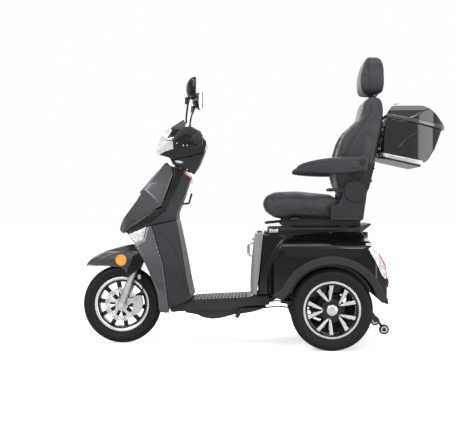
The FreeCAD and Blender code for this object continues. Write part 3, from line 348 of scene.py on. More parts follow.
def finish(name, colour, rough, metallic=0.0, coat=0.0, mottle=0.12, mottle_scale=9.0, grain=900.0, bump=0.12,
           depth=0.0002, rough_spread=0.08, kind="noise", stretch=(1, 1, 1), spec=0.25):
    """A procedural finish: colour that drifts slightly, roughness that varies, and a grain bump."""
    mat = bpy.data.materials.new(name)
    mat.use_nodes = True
    tree = mat.node_tree
    origin = shader_node(tree, "TexCoord", {}, {})
    scaled = shader_node(tree, "Mapping", {"Scale": stretch}, {"Vector": origin.outputs["Object"]})
    across = {"Vector": scaled.outputs["Vector"]}
    broad = shader_node(tree, "TexNoise", {"Scale": mottle_scale, "Detail": 5}, across)
    drift = broad.outputs["Fac"]
    ramp = shader_node(tree, "ValToRGB", {}, {"Fac": drift})
    dark, bright = ramp.color_ramp.elements
    dark.position, bright.position = 0.3, 0.7
    dark.color = [c * (1 - mottle) for c in colour] + [1]
    bright.color = [min(1, c * (1 + mottle)) for c in colour] + [1]
    if kind == "pebble":
        height = shader_node(tree, "TexVoronoi", {"Scale": grain}, across).outputs["Distance"]
    else:
        height = shader_node(tree, "TexNoise", {"Scale": grain, "Detail": 6}, across).outputs["Fac"]
    spread = shader_node(tree, "MapRange", {"To Min": max(0.02, rough - rough_spread),
                                            "To Max": min(1, rough + rough_spread)}, {"Value": drift})
    relief = shader_node(tree, "Bump", {"Strength": bump, "Distance": depth}, {"Height": height})
    set_node(tree, tree.nodes["Principled BSDF"],
             {"Metallic": metallic, "Coat Weight": coat, "Coat Roughness": 0.05, "Specular IOR Level": spec},
             {"Base Color": ramp.outputs["Color"], "Roughness": spread.outputs["Result"],
              "Normal": relief.outputs["Normal"]})
    return mat


def lens(name, colour):
    """A coloured lamp lens with small prisms pressed into it."""
    mat = finish(name, colour, 0.06, coat=0.6, mottle=0.06, grain=420, bump=0.6, depth=0.002, kind="pebble",
                 rough_spread=0.03)
    mat.node_tree.nodes["Principled BSDF"].inputs["Transmission Weight"].default_value = 0.1
    return mat


def painted_facets(name, dark, bright, scale):
    """A lamp's prisms with painted light: each facet cell gets a painted shade or a painted highlight colour,
    standing for neighbouring facets that catch the light differently.
    """
    mat = finish(name, bright, 0.14, metallic=0.25, coat=0.7, grain=scale, bump=0.5, depth=0.002, kind="pebble",
                 rough_spread=0.05, spec=0.5)
    tree = mat.node_tree
    # Facet cells coloured from painted shade (dark) to painted highlight (bright).
    cells = shader_node(tree, "TexVoronoi", {"Scale": scale},
                        {"Vector": tree.nodes["Mapping"].outputs["Vector"]})
    ramp = set_node(tree, tree.nodes["Color Ramp"], {}, {"Fac": cells.outputs["Color"]})
    ramp.color_ramp.elements[0].color = (*dark, 1)
    ramp.color_ramp.elements[1].color = (*bright, 1)
    ramp.color_ramp.elements[0].position = 0.0
    ramp.color_ramp.elements[1].position = 0.8
    return mat


GREY = finish("Grey_metallic_paint", (0.034, 0.0345, 0.039), 0.3, metallic=0.5, coat=0.9, mottle=0.08,
              grain=2600,
              bump=0.05, spec=0.2)
BLACK = finish("Black_gloss_moulding", (0.003, 0.003, 0.0038), 0.14, coat=0.3, spec=0.12, mottle=0.1,
               grain=1500, bump=0.03,
               rough_spread=0.04)
CHARCOAL = finish("Charcoal_grained_plastic", (0.021, 0.0215, 0.024), 0.46, spec=0.12, mottle=0.12,
                  grain=1400, bump=0.35,
                  kind="pebble", depth=0.0003)
SILVER = finish("Silver_satin_panel", (0.2, 0.205, 0.215), 0.34, metallic=0.5, coat=0.3, mottle=0.05,
                grain=2600)
FRAME = finish("Powder_coated_tube", (0.009, 0.009, 0.01), 0.36, coat=0.1, grain=1100, bump=0.2)
RUBBER = finish("Tyre_rubber", (0.0045, 0.0045, 0.005), 0.6, spec=0.18, mottle=0.22, grain=700, bump=0.3,
                mottle_scale=26)
GRIP = finish("Grip_rubber", (0.009, 0.009, 0.009), 0.55, grain=1500, bump=0.3, kind="pebble")
MACHINED = finish("Machined_alloy", (0.5, 0.5, 0.51), 0.26, metallic=0.9, coat=0.3, mottle=0.04, grain=500,
                  bump=0.08, stretch=(1, 6, 1))
ALLOY = finish("Cast_alloy", (0.37, 0.375, 0.385), 0.38, metallic=0.85, mottle=0.1, grain=1300, bump=0.22)
STEEL = finish("Brushed_steel", (0.46, 0.465, 0.47), 0.3, metallic=0.95, mottle=0.06, grain=420, bump=0.12,
               stretch=(1, 14, 1))
CHROME = finish("Polished_chrome", (0.6, 0.61, 0.63), 0.1, metallic=1.0, mottle=0.03, grain=900, bump=0.02,
                rough_spread=0.03)
HIDE = finish("Grained_upholstery", (0.0195, 0.0203, 0.0235), 0.46, mottle=0.14, mottle_scale=14, grain=620,
              bump=0.42, depth=0.0006, kind="pebble")
HIDE_SIDE = finish("Corded_upholstery", (0.017, 0.0175, 0.02), 0.48, mottle=0.14, mottle_scale=18, grain=900,
                   bump=0.5, depth=0.0005, kind="pebble")
THREAD = finish("Thread", (0.07, 0.07, 0.075), 0.6, grain=2200, bump=0.5)
# These three lamp finishes carry painted shade and painted highlight in their dark and bright facet colours.
CLEAR = painted_facets("Clear_lens", (0.34, 0.34, 0.36), (0.78, 0.78, 0.79), 130)
HEADLIGHT = painted_facets("Headlight_glass", (0.4, 0.395, 0.4), (0.62, 0.61, 0.615), 45)
LAMP_SILVER = painted_facets("Lamp_reflector", (0.25, 0.255, 0.27), (0.72, 0.73, 0.75), 90)
AMBER = lens("Amber_lens", (0.88, 0.36, 0.04))
RED = lens("Red_lens", (0.5, 0.008, 0.012))
SMOKE = finish("Smoke_gloss_box", (0.003, 0.003, 0.004), 0.2, coat=0.6, mottle=0.15, grain=1500, bump=0.03,
               rough_spread=0.04, spec=0.12)
GLASS = finish("Mirror_glass", (0.8, 0.82, 0.84), 0.04, metallic=1.0, mottle=0.02, grain=300, bump=0.01,
               rough_spread=0.02)
SCREEN = finish("Instrument_glass", (0.02, 0.03, 0.035), 0.1, coat=0.9, mottle=0.3, grain=900, bump=0.02)
WIRE_ORANGE = finish("Orange_wire", (0.75, 0.14, 0.015), 0.45, grain=900)
WIRE_WHITE = finish("White_wire", (0.7, 0.7, 0.68), 0.45, grain=900)
BATTERY = finish("Battery_case", (0.03, 0.031, 0.034), 0.5, grain=800, bump=0.3, kind="pebble")

CAD_FINISH = {
    "main_frame": FRAME, "fork_legs": ALLOY, "front_axle": STEEL, "handlebar": FRAME,
    "brake_caliper": ALLOY, "seat_posts": FRAME, "rear_axle": FRAME, "anti_tip_bar": FRAME,
    "brake_cables": GRIP,
    "seat_rails": FRAME, "seat_frame": CHARCOAL, "backrest_frame": FRAME, "box_rack": CHROME,
    "door_hinge": STEEL,
    "battery_pack": BATTERY, "parking_brake_pedal": CHARCOAL, "bag_hook": CHARCOAL,
    "anti_tip_wheel_left": RUBBER, "anti_tip_wheel_right": RUBBER,
    "steering_stem": FRAME,
}


def finish_cad_nodes():
    """The CAD pieces that show as they are get a real finish and smooth shading with their hard edges kept."""
    for node, material in CAD_FINISH.items():
        obj = nodes[node]
        obj.data.materials.clear()
        obj.data.materials.append(material)
        shaded(obj)


# ---------------------------------------------------------------- wheels

def tyre(node, centre, body):
    """A tyre with a rounded tread: centre grooves, slanted blocks and ribbed walls."""
    width = (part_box(node)[1].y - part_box(node)[0].y) / MM
    lip = RIM_RADIUS - 6
    mid = (TYRE_RADIUS + 150) / 2
    reach = TYRE_RADIUS - mid
    around, across, blocks = 480, 61, 60
    tread, slant, gap, bead, bead_span = 0.56, 2.6, 0.24, 0.92, 0.08
    block_depth, groove_depth, rib_height = 3.4, 3.2, 0.9
    verts = []
    for i in range(around):
        turn = 2 * math.pi * i / around
        for k in range(across):
            u = 2 * k / (across - 1) - 1
            angle = u * math.radians(112)
            bulge = math.copysign(abs(math.sin(angle)) ** 0.85, math.sin(angle))
            radius = mid + reach * math.cos(angle)
            offset = width / 2 * bulge
            cut = 0.0
            if abs(u) < tread:
                phase = (i * blocks / around + abs(u) * slant) % 1
                if phase < gap and abs(u) > 0.1:
                    cut = block_depth
                elif abs(abs(u) - 0.2) < 0.03:
                    cut = groove_depth
            elif 0.66 < abs(u) < 0.7 or 0.8 < abs(u) < 0.83:
                cut = -rib_height
            radius -= cut * math.cos(angle)
            offset -= math.copysign(cut * abs(math.sin(angle)), u)
            if abs(u) > bead:
                radius = lip + (1 - abs(u)) / bead_span * 10
                offset = math.copysign(width / 2 - 9 - (abs(u) - bead) / bead_span * 3, u)
            verts.append((centre.x + radius * math.cos(turn), centre.y + offset, centre.z +
                          radius * math.sin(turn)))
    faces = []
    for i in range(around):
        j = (i + 1) % around
        for k in range(across - 1):
            faces.append((i * across + k, i * across + k + 1, j * across + k + 1, j * across + k))
    piece(shaded(solid(verts, faces), 50), node + "_mesh", body, "tyre", RUBBER, node)


def beam(centre, angle_in, radius_in, angle_out, radius_out, width_in, width_out, low, high):
    """A tapered spoke between two polar points of a wheel, as a box with slanting sides."""
    start = Vector((radius_in * math.cos(angle_in), radius_in * math.sin(angle_in)))
    end = Vector((radius_out * math.cos(angle_out), radius_out * math.sin(angle_out)))
    along = (end - start).normalized()
    across = Vector((-along.y, along.x))
    flat = [start - across * width_in / 2, end - across * width_out / 2, end + across * width_out / 2,
            start + across * width_in / 2]
    outline = [(centre.x + p.x, centre.z + p.y) for p in flat]
    return prism(outline, centre.y + low, centre.y + high)


def wheel_piece(parts, name, body, material, *replaced):
    """Finished metal parts of a wheel, with lightly broken edges."""
    piece(hardware(parts, 1.2, 2), name, body, "rim_alloy", material, *replaced)


def rear_wheel(word, centre, body):
    """A cast wheel: five forked pairs of machined spokes between a black hub and a bright lip."""
    side = -1 if centre.y < 0 else 1
    node = f"rear_rim_{word}"
    edge = (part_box(node)[1].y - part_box(node)[0].y) / 2 / MM - 1
    face = side * 30
    lip = [(124, side * (edge - 14)), (127, side * (edge - 5)), (131, side * (edge - 1)), (140, side * edge),
           (RIM_RADIUS, side * (edge - 1)), (RIM_RADIUS - 1, side * (edge - 4)), (132, side * (edge - 6)),
           (129, side * (edge - 15))]
    bright = [turned(centre, lip, 128, closed=True)]
    dark = [turned(centre, [(124, -edge + 2), (121, -edge + 4), (119, -10), (119, 10), (121, edge - 6),
                            (125, edge - 4),
                            (130, edge - 8), (127, 0), (130, -edge + 6), (RIM_RADIUS - 1, -edge + 1),
                            (RIM_RADIUS - 2, -edge)], 128, closed=True)]
    for pair_number in range(5):
        apex = math.radians(180 + 72 * pair_number)
        for lean in (-17, 17):
            outer = apex + math.radians(lean)
            root = apex + math.radians(lean * 0.42)
            bright.append(beam(centre, root, 47, outer, 126, 7, 21, *sorted((face - side * 3, face))))
            bright.append(beam(centre, apex + math.radians(lean * 0.06), 40, apex + math.radians(lean * 0.52),
                               98, 2.2, 2.6,
                               *sorted((face - side * 3, face))))
            dark.append(beam(centre, apex + math.radians(lean * 0.3), 40, outer, 124, 16, 26,
                             *sorted((face - side * 14, face - side * 2.5))))
    lobes = [(centre.x + r * math.cos(t), centre.z + r * math.sin(t)) for r, t in
             ((48 + 10 * math.cos(5 * t), t) for t in (2 * math.pi * i / 80 for i in range(80)))]
    dark.append(prism(lobes, *sorted((centre.y + face - side * 10, centre.y + face + side * 3))))
    dark.append(turned(centre, [(0.5, side * -26), (34, side * -26), (34, face)], 48))
    wheel_piece(bright, f"rear_spokes_{word}", body, MACHINED, node)
    wheel_piece(dark, f"rear_barrel_{word}", body, BLACK)
    cap = turned(centre, [(0.2, side * 44.5), (14, side * 44), (22, side * 42.5), (26.5, side * 39),
                          (28, side * 33)], 64)
    piece(shaded(cap), f"hub_cap_{word}", body, "rim_alloy", STEEL)


def front_wheel():
    """The front wheel: ten black spokes, a bright lip, and a drilled brake disc on the left."""
    centre = FRONT
    edge = (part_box("front_rim")[1].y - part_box("front_rim")[0].y) / 2 / MM - 1
    bright = []
    dark = [turned(centre, [(125, -edge + 3), (118, -edge + 5), (114, -8), (114, 8), (118, edge - 5),
                            (125, edge - 3),
                            (129, edge - 7), (126, 0), (129, -edge + 7)], 128, closed=True)]
    for side in (-1, 1):
        lip = [(124, side * (edge - 10)), (127, side * (edge - 4)), (132, side * (edge - 1)),
               (140, side * edge),
               (RIM_RADIUS, side * (edge - 1)), (RIM_RADIUS - 1, side * (edge - 4)), (132, side * (edge - 6)),
               (129, side * (edge - 11))]
        bright.append(turned(centre, lip, 128, closed=True))
    for i in range(10):
        turn = math.radians(100 + 36 * i)
        dark.append(beam(centre, turn, 26, turn, 122, 22, 23, -9, 9))
        dark.append(beam(centre, turn, 40, turn, 123, 6, 5, -14, 14))
    dark.append(turned(centre, [(9, -33), (30, -33), (34, -26), (34, 26), (30, 33), (9, 33)], 48, closed=True))
    wheel_piece(bright, "front_rim_lips", "front_wheel", MACHINED, "front_rim")
    wheel_piece(dark, "front_spokes", "front_wheel", BLACK)
    low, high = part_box("brake_disc")
    disc_y = (low.y / MM, high.y / MM)
    rotor = turned(centre, [(62, disc_y[0]), (87, disc_y[0]), (87, disc_y[1]), (62, disc_y[1])], 120,
                   closed=True)
    holes = []
    for i in range(20):
        for row, radius in enumerate((68.8, 75.5, 82.2)):
            turn = math.radians(18 * i + 6 * row)
            at = Vector((centre.x + radius * math.cos(turn), disc_y[0] - 3, centre.z + radius * math.sin(turn)))
            holes.append(cylinder(at, at + Vector((0, 12, 0)), 2.7, 10))
    rotor = combine(rotor, joined(holes), "DIFFERENCE")
    arms = []
    for i in range(5):
        turn = math.radians(72 * i + 20)
        arms.append(beam(centre, turn - 0.3, 30, turn, 64, 17, 14, disc_y[0] - centre.y + 0.5,
                         disc_y[1] - centre.y - 0.5))
    hub = turned(centre, [(18, disc_y[0] - 1), (34, disc_y[0] - 1), (34, disc_y[1]), (18, disc_y[1])], 48,
                 closed=True)
    disc = joined([rotor, hub] + arms)
    piece(bevelled(shaded(disc), 0.5, 2), "brake_rotor", "front_wheel", "steel", STEEL, "brake_disc")
    bolts = []
    for i in range(5):
        turn = math.radians(72 * i + 12)
        at = Vector((centre.x + 26 * math.cos(turn), disc_y[0] - 1, centre.z + 26 * math.sin(turn)))
        bolts.append(cylinder(at, at + Vector((0, -4, 0)), 4.5, 6))
    wheel_piece(bolts, "disc_bolts", "front_wheel", STEEL)


# ---------------------------------------------------------------- front bodywork

NOSE_SEAM = fore([(12, 568), (27, 582), (167, 690), (215, 712), (272, 880), (265, 917)])
LAMP_TOP = fore([(45, 569), (139, 609)])
LAMP_FRONT = fore([(83, 520)])
LAMP_BACK = fore([(124, 540)])
KNEE_SEAM = fore([(167, 612), (293, 642)])
SHIELD_SEAM = fore([(167, 612), (227, 420), (257, 200)])
COLUMN_TOP = fore([(265, 917), (327, 892), (361, 866)])
NOSE_FRONT = [(134, 540), (130, 700), (112, 800), (78, 900), (56, 950)]
SHROUD_FRONT = [(127, 540), (124, 640), (104, 720), (80, 800), (62, 940)]
SHIELD_FRONT = [(160, 140), (194, 200), (198, 330), (184, 460), (150, 600), (124, 670)]


def steer_point(height, ahead=0.0):
    """A millimetre point on the steering axis, or ahead of it."""
    foot = FRONT - Vector((-math.cos(RAKE), 0, math.sin(RAKE))) * 34
    up = Vector((math.sin(RAKE), 0, math.cos(RAKE)))
    return foot + up * ((height - foot.z) / up.z) + Vector((-math.cos(RAKE), 0, math.sin(RAKE))) * ahead


def swing_room():
    """The space the fork and front wheel need as they steer."""
    fork_room, wheel_room, half_width = 109, 216, 150
    fork = cylinder(steer_point(120), steer_point(560), fork_room, 64)
    arc = [math.radians(-85 + 10 * i) for i in range(18)]
    profile = [(wheel_room * math.cos(a), wheel_room * math.sin(a)) for a in arc]
    ball = turned(Vector((FRONT.x, 0, FRONT.z)), [(0.1, -wheel_room)] + profile + [(0.1, wheel_room)], 48)
    slab = prism([(FRONT.x - 400, -200), (FRONT.x + 400, -200), (FRONT.x + 400, 800), (FRONT.x - 400, 800)],
                 -half_width, half_width)
    return combine(fork, combine(ball, slab, "INTERSECT"), "UNION")


def limited(side, half_front, plan=None):
    """A side outline stretched across, limited by a front outline and perhaps a plan outline."""
    shape = combine(prism(side, -420, 420), front_prism(half_front, -2000, 2000), "INTERSECT")
    if plan:
        shape = combine(shape, plan_prism(plan, -100, 2000), "INTERSECT")
    return shape


def front_bodywork():
    """The nose, its crest and edge strip, the column shroud, the leg shield and the front lamps."""
    front_line = fore([(265, 917)]) + curve(
        fore([(227, 934), (102, 768), (84, 740), (27, 667), (4, 635), (-11, 590), (12, 568)]),
        4)
    nose_side = NOSE_SEAM[:-1] + front_line[:-1]
    nose_plan = fore([(-14, 26), (5, 52), (27, 78), (87, 103), (167, 121), (215, 130), (285, 132)])
    nose = limited(nose_side, curve(NOSE_FRONT, 4), plan=curve(nose_plan, 4))
    piece(moulded(nose, 3.5, 5), "nose_cowl", "chassis", "grey_gloss", GREY, "nose_panel")
    crest = limited(fore([(238, 938), (222, 934), (203, 909), (164, 868), (97, 788), (97, 776), (109, 770),
                          (127, 784), (230, 905), (252, 922)]), [(58, 700), (52, 800), (34, 900), (26, 950)])
    piece(moulded(crest, 2.5, 4), "nose_crest", "chassis", "grey_gloss", GREY)
    strip_side = fore([(265, 917), (327, 897), (276, 762), (236, 690), (165, 634), (27, 577), (21, 583),
                       (167, 690),
                       (215, 712), (272, 880)])
    strip_front = [(y + 3.5, z) for y, z in SHROUD_FRONT]
    strip = limited(strip_side, curve(strip_front, 4))
    strip = combine(strip, cylinder(steer_point(840), steer_point(980), 36), "DIFFERENCE")
    piece(moulded(strip, 3, 3), "nose_edge_strip", "chassis", "grey_gloss", BLACK)
    rear_line = curve(fore([(361, 866), (322, 750), (293, 680), (293, 642)]), 4)
    shroud_side = NOSE_SEAM[1:] + COLUMN_TOP[1:-1] + rear_line + KNEE_SEAM[:1] + LAMP_TOP[::-1]
    shroud = limited(shroud_side, curve(SHROUD_FRONT, 4))
    shroud = combine(shroud, cylinder(steer_point(840), steer_point(980), 32), "DIFFERENCE")
    piece(moulded(shroud, 3.5, 6), "column_shroud_mesh", "chassis", "matte_black", CHARCOAL, "column_shroud")
    edge = curve(fore([(257, 170), (214, 174), (206, 202), (199, 270), (173, 340), (127, 440), (77, 517)]), 4)
    apron_side = SHIELD_SEAM + edge + LAMP_FRONT + LAMP_BACK + LAMP_TOP[1:]
    apron = limited(apron_side, curve(SHIELD_FRONT, 4))
    apron = combine(apron, swing_room(), "DIFFERENCE")
    piece(moulded(apron, 4, 6, open_below=185), "leg_shield_apron", "chassis", "grey_gloss", GREY,
          "leg_shield_front")
    rear = curve(fore([(293, 642), (325, 480), (350, 340), (371, 245)]), 4)
    inner_side = KNEE_SEAM[:1] + rear + fore([(327, 222)]) + SHIELD_SEAM[::-1][:-1]
    inner = limited(inner_side, curve(SHIELD_FRONT, 4))
    inner = moulded(inner, 4, 6)
    shield_ridges(inner)
    piece(inner, "leg_shield_rear", "chassis", "matte_black", CHARCOAL, "leg_shield_inner")
    lamp_side = LAMP_TOP + LAMP_BACK + LAMP_FRONT
    lens_left = moulded(prism(lamp_side, -129, -88), 2, 3)
    piece(pair(lens_left), "indicator_lenses", "chassis", "lamp_clear", CLEAR, "front_indicators")
    rim = tube([(x, -129, z) for x, z in LAMP_TOP + LAMP_BACK + LAMP_FRONT], 1.8, steps=1, closed=True, sides=8)
    piece(pair(rim), "indicator_rims", "chassis", "matte_black", BLACK)
    loose_wires()


def shield_ridges(shield):
    """The pressed ridges that sweep down each side of the leg shield, and the ridge that arches round the panel
    at its foot.
    """
    lines = [fore([(206, 600), (246, 566), (284, 510), (306, 450), (326, 380), (344, 300)]),
             fore([(262, 370), (292, 362), (326, 330), (348, 286), (358, 244)]),
             fore([(232, 420), (243, 340), (252, 260), (258, 206)])]
    beads = []
    for line in lines:
        path = on_surface(shield, [(p.x, -230, p.y) for p in dense(line, 8)], -0.8)
        beads.append(tube(path, 2.8, steps=1, sides=8))
    piece(pair(joined(beads)), "leg_shield_ridges", "chassis", "matte_black", CHARCOAL)


def loose_wires():
    """The short loom that shows between the column and its neck."""
    orange = tube(fore_at([(328, 884), (340, 874), (352, 866), (364, 856)], -80), 2.2, 4)
    piece(shaded(orange), "loom_wire_orange", "chassis", "rubber", WIRE_ORANGE)
    white = tube(fore_at([(332, 880), (346, 874), (358, 864), (366, 856)], -76), 2, 4)
    piece(shaded(white), "loom_wire_white", "chassis", "rubber", WIRE_WHITE)
    tail = tube(fore_at([(364, 856), (368, 846), (367, 834), (368, 824)], -80), 1.6, 4)
    piece(shaded(tail), "loom_wire_tail", "chassis", "rubber", GRIP)


def fore_at(points, y):
    """Side-view points from the front axle, at one place across."""
    return [(x, y, z) for x, z in fore(points)]


def front_fender():
    """The mudguard: a thin hooded shell with its side skirts, and the dark guards behind the fork."""
    top = curve(fore([(-184, 403), (-170, 426), (-151, 443), (-113, 465), (-73, 482), (27, 509), (62, 515)]), 4)
    crown = top + fore([(88, 476), (92, 464), (117, 438), (102, 395), (87, 380), (37, 350), (24, 365),
                        (15, 385),
                        (-3, 395), (-80, 402)])
    half = [(48, 330), (48, 440), (42, 476), (24, 505), (8, 517)]
    shell = limited(crown, half)
    inner_top = curve(fore([(-190, 396), (-168, 418), (-149, 436), (-111, 459), (-71, 476), (27, 503),
                            (54, 507)]), 4)
    inner = inner_top + fore([(80, 474), (85, 462), (108, 438), (96, 395), (84, 300), (-200, 300)])
    inner_half = [(43.5, 200), (43.5, 436), (37, 470), (21, 498), (6, 510)]
    shell = combine(shell, limited(inner, inner_half), "DIFFERENCE")
    shell = combine(shell, cylinder(steer_point(424), steer_point(640), 46), "DIFFERENCE")
    piece(moulded(shell, 2.2, 4), "front_mudguard", "steering", "grey_gloss", GREY, "front_fender")
    guard = rounded(fore([(92, 464), (114, 440), (101, 397), (87, 382), (40, 352), (28, 366), (52, 420),
                          (64, 458)]), 3)
    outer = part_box("fork_legs")[0].y / MM
    piece(pair(moulded(prism(guard, outer - 3, -46), 2, 3)), "fork_guards", "steering", "black_gloss", BLACK)
    edge = [(x, -48, z) for x, z in curve(fore([(-175, 406), (-152, 412), (-103, 440), (-53, 463), (7, 476),
                                                  (60, 478)]), 4)]
    piece(pair(tube(edge, 2.4, steps=1, sides=8)), "mudguard_creases", "steering", "grey_gloss", GREY)
    low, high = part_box("fender_reflectors")
    at = Vector((FRONT.x - 1, low.y / MM, 433))
    rim = turned(at, [(29, 4), (29, 0), (27, -2), (24.5, -2), (24, 0)], 64)
    face = turned(at, [(0.2, -1.5), (12, -1.3), (20, -0.6), (24.3, 0.2)], 64)
    bases = pair(rim)
    piece(shaded(bases), "fender_reflector_rims", "steering", "lamp_amber", AMBER)
    piece(shaded(pair(face)), "fender_reflector_lenses", "steering", "lamp_amber", AMBER, "fender_reflectors")
    brake_details()


def brake_details():
    """The caliper's cover and bolts, its hose up the fork, and the small bracket behind the leg."""
    x = FRONT.x
    cover = moulded(prism(rounded(fore([(66, 150), (98, 166), (112, 200), (110, 240), (92, 252), (70, 236),
                                        (62, 190)]), 3), -60, -49), 2, 5)
    piece(cover, "caliper_cover", "steering", "steel", ALLOY)
    bolts = [cylinder((x + dx, -60, z), (x + dx, -65, z), 6, 6) for dx, z in ((84, 176), (96, 232), (22, 200))]
    piece(hardware(bolts, 0.8), "caliper_bolts", "steering", "steel", STEEL)
    hose = tube([(x + 100, -56, 244), (x + 112, -58, 272), (x + 106, -60, 318), (x + 92, -62, 356),
                 (x + 104, -52, 402),
                 (x + 122, -44, 440)], 3.6, 6)
    piece(shaded(hose), "brake_hose", "steering", "rubber", GRIP)
    tag = bevelled(prism(fore([(88, 332), (104, 340), (100, 362), (84, 354)]), -66, -58), 1.5, 2)
    piece(tag, "hose_clip", "steering", "steel", ALLOY)


# ---------------------------------------------------------------- floor

def floor():
    """The foot board with its ribbed top, and the tray beneath."""
    half = (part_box("floor_board")[1].y) / MM
    top = fore([(259, 200), (327, 223), (387, 241)]) + aft([(-420, 253), (-366, 262), (-303, 262)])
    bottom = aft([(-303, 213), (-421, 205), (-481, 190)]) + fore([(427, 181), (267, 175)])
    board = prism(top + bottom, -half, half)
    piece(moulded(board, 4, 5, open_below=212), "foot_board", "chassis", "matte_black", CHARCOAL,
          "floor_board")
    ribs = []
    start = Vector((FRONT.x + 398, 244.5))
    end = Vector((REAR_LEFT.x - 424, 256.2))
    for i in range(15):
        at = start.lerp(end, i / 14)
        ribs.append(prism([(at.x - 5, at.y - 4), (at.x + 5, at.y - 4), (at.x + 4, at.y + 0.6),
                           (at.x - 4, at.y + 0.6)],
                          -half + 38, half - 38))
    piece(bevelled(joined(ribs), 1.2, 2), "foot_board_ribs", "chassis", "rubber", RUBBER)
    pan_side = curve(fore([(337, 170), (397, 160), (427, 146), (472, 139)]), 3)[:-1]
    pan_side = pan_side + curve(aft([(-596, 138), (-541, 145), (-486, 160), (-401, 172), (-341, 189),
                                     (-316, 202)]), 3) + fore([(337, 203)])
    pan = prism(pan_side, -half + 26, half - 26)
    piece(moulded(pan, 4, 5), "under_tray", "chassis", "matte_black", FRAME, "belly_pan")


# ---------------------------------------------------------------- rear end

BODY_SIDE = aft([(-361, 265), (-361, 470), (-352, 572), (-251, 572), (-221, 562), (-141, 570), (-41, 578),
                 (69, 581),
                 (159, 580), (219, 490), (259, 415), (271, 350), (276, 300), (276, 232), (239, 242), (194, 283),
                 (-276, 270)])
BODY_PLAN = aft([(-362, 182), (-312, 196), (-301, 296), (-281, 330), (-221, 340), (139, 340), (219, 322),
                 (277, 262)])
BODY_FRONT = [(340, 180), (340, 470), (322, 524), (250, 556), (190, 584)]
ARCH = 230


def arch_points(radius, degrees):
    """Points on a circle about the rear axle, in side view."""
    return [(REAR_LEFT.x + radius * math.cos(math.radians(a)), REAR_LEFT.z + radius * math.sin(math.radians(a)))
            for a in degrees]


def wheel_wells():
    """Both wheel wells, open outwards and below."""
    inner = abs(REAR_LEFT.y) - 51
    outline = arch_points(ARCH, range(0, 181, 6)) + [(REAR_LEFT.x - ARCH, -100), (REAR_LEFT.x + ARCH, -100)]
    left = prism(outline, -500, -inner)
    return joined([left, prism(outline, inner, 500)])


def bulge_room():
    """The space beside the seat box, ahead of the arches' raked front faces."""
    crest = curve(aft([(-322, 262), (-316, 290), (-301, 400), (-281, 470), (-251, 522), (-221, 545),
                       (-141, 562),
                         (-41, 575)]), 3)
    outline = aft([(-450, 800), (-450, 100), (-322, 100)]) + crest + aft([(-41, 800)])
    return joined([prism(outline, -500, -199), prism(outline, 199, 500)])


def rear_bodywork():
    """The rear body with its open wheel wells, the arch flares, and the deck under the seat."""
    shape = limited(BODY_SIDE, curve(BODY_FRONT, 3), plan=BODY_PLAN)
    shape = combine(shape, wheel_wells(), "DIFFERENCE")
    shape = combine(shape, bulge_room(), "DIFFERENCE")
    piece(moulded(shape, 4.5, 5, open_below=300), "rear_body_shell", "chassis", "black_gloss", BLACK,
          "rear_body")
    arc = arch_points(ARCH + 36, range(158, 23, -5))
    back = arch_points(ARCH - 4, range(22, 160, 5))
    outline = aft([(-292, 274), (-270, 290), (-240, 310)]) + arc + aft([(249, 285), (270, 262), (274, 233),
                                                                        (240, 243),
                                                                       (215, 268)]) + back + aft([(-240, 252),
                                                                                                  (-272, 262)])
    flare = prism(outline, -347.5, -322)
    piece(pair(moulded(flare, 3, 5)), "arch_flares", "chassis", "matte_black", CHARCOAL, "wheel_arch_flares")
    deck_side = aft([(-311, 582), (159, 582), (208, 618), (204, 627), (150, 612), (100, DECK_TOP),
                     (-305, DECK_TOP),
                     (-311, 598)])
    deck = combine(prism(deck_side, -196, 196),
                   plan_prism(aft([(-312, 170), (-296, 196), (150, 196), (209, 160)]), 500, 700),
                   "INTERSECT")
    piece(moulded(deck, 3, 4), "seat_deck", "chassis", "matte_black", CHARCOAL, "top_deck")
    riser = prism(aft([(-330, 560), (-330, 584), (150, 584), (150, 560)]), -184, 184)
    piece(bevelled(riser, 4, 3), "seat_deck_riser", "chassis", "matte_black", FRAME)
    plinth = prism(aft([(-225, 604), (-220, 627), (148, 627), (156, 604)]), -128, 128)
    piece(bevelled(plinth, 3, 3), "seat_plinth", "chassis", "frame_steel", FRAME)
    deck_fittings()
    tail_lights()


def deck_fittings():
    """The catch at the tray's front corner and the two cables that run along its edge."""
    x = REAR_LEFT.x
    catch = [prism(aft([(-306, 580), (-306, 598), (-262, 598), (-262, 580)]), -203, -186),
             cylinder((x - 296, -203, 589), (x - 296, -209, 589), 8, 24),
             cylinder((x - 272, -203, 589), (x - 272, -207, 589), 4, 6)]
    piece(hardware(catch, 1.5), "tray_catch", "chassis", "chrome", CHROME)
    lines = [tube([(x - 262, -200, 590 - k * 8), (x - 150, -201, 592 - k * 6), (x - 20, -200, 594 - k * 7),
                   (x + 76, -199, 598 - k * 12)], 2.4, 6) for k in range(2)]
    piece(shaded(joined(lines)), "tray_cables", "chassis", "rubber", GRIP)


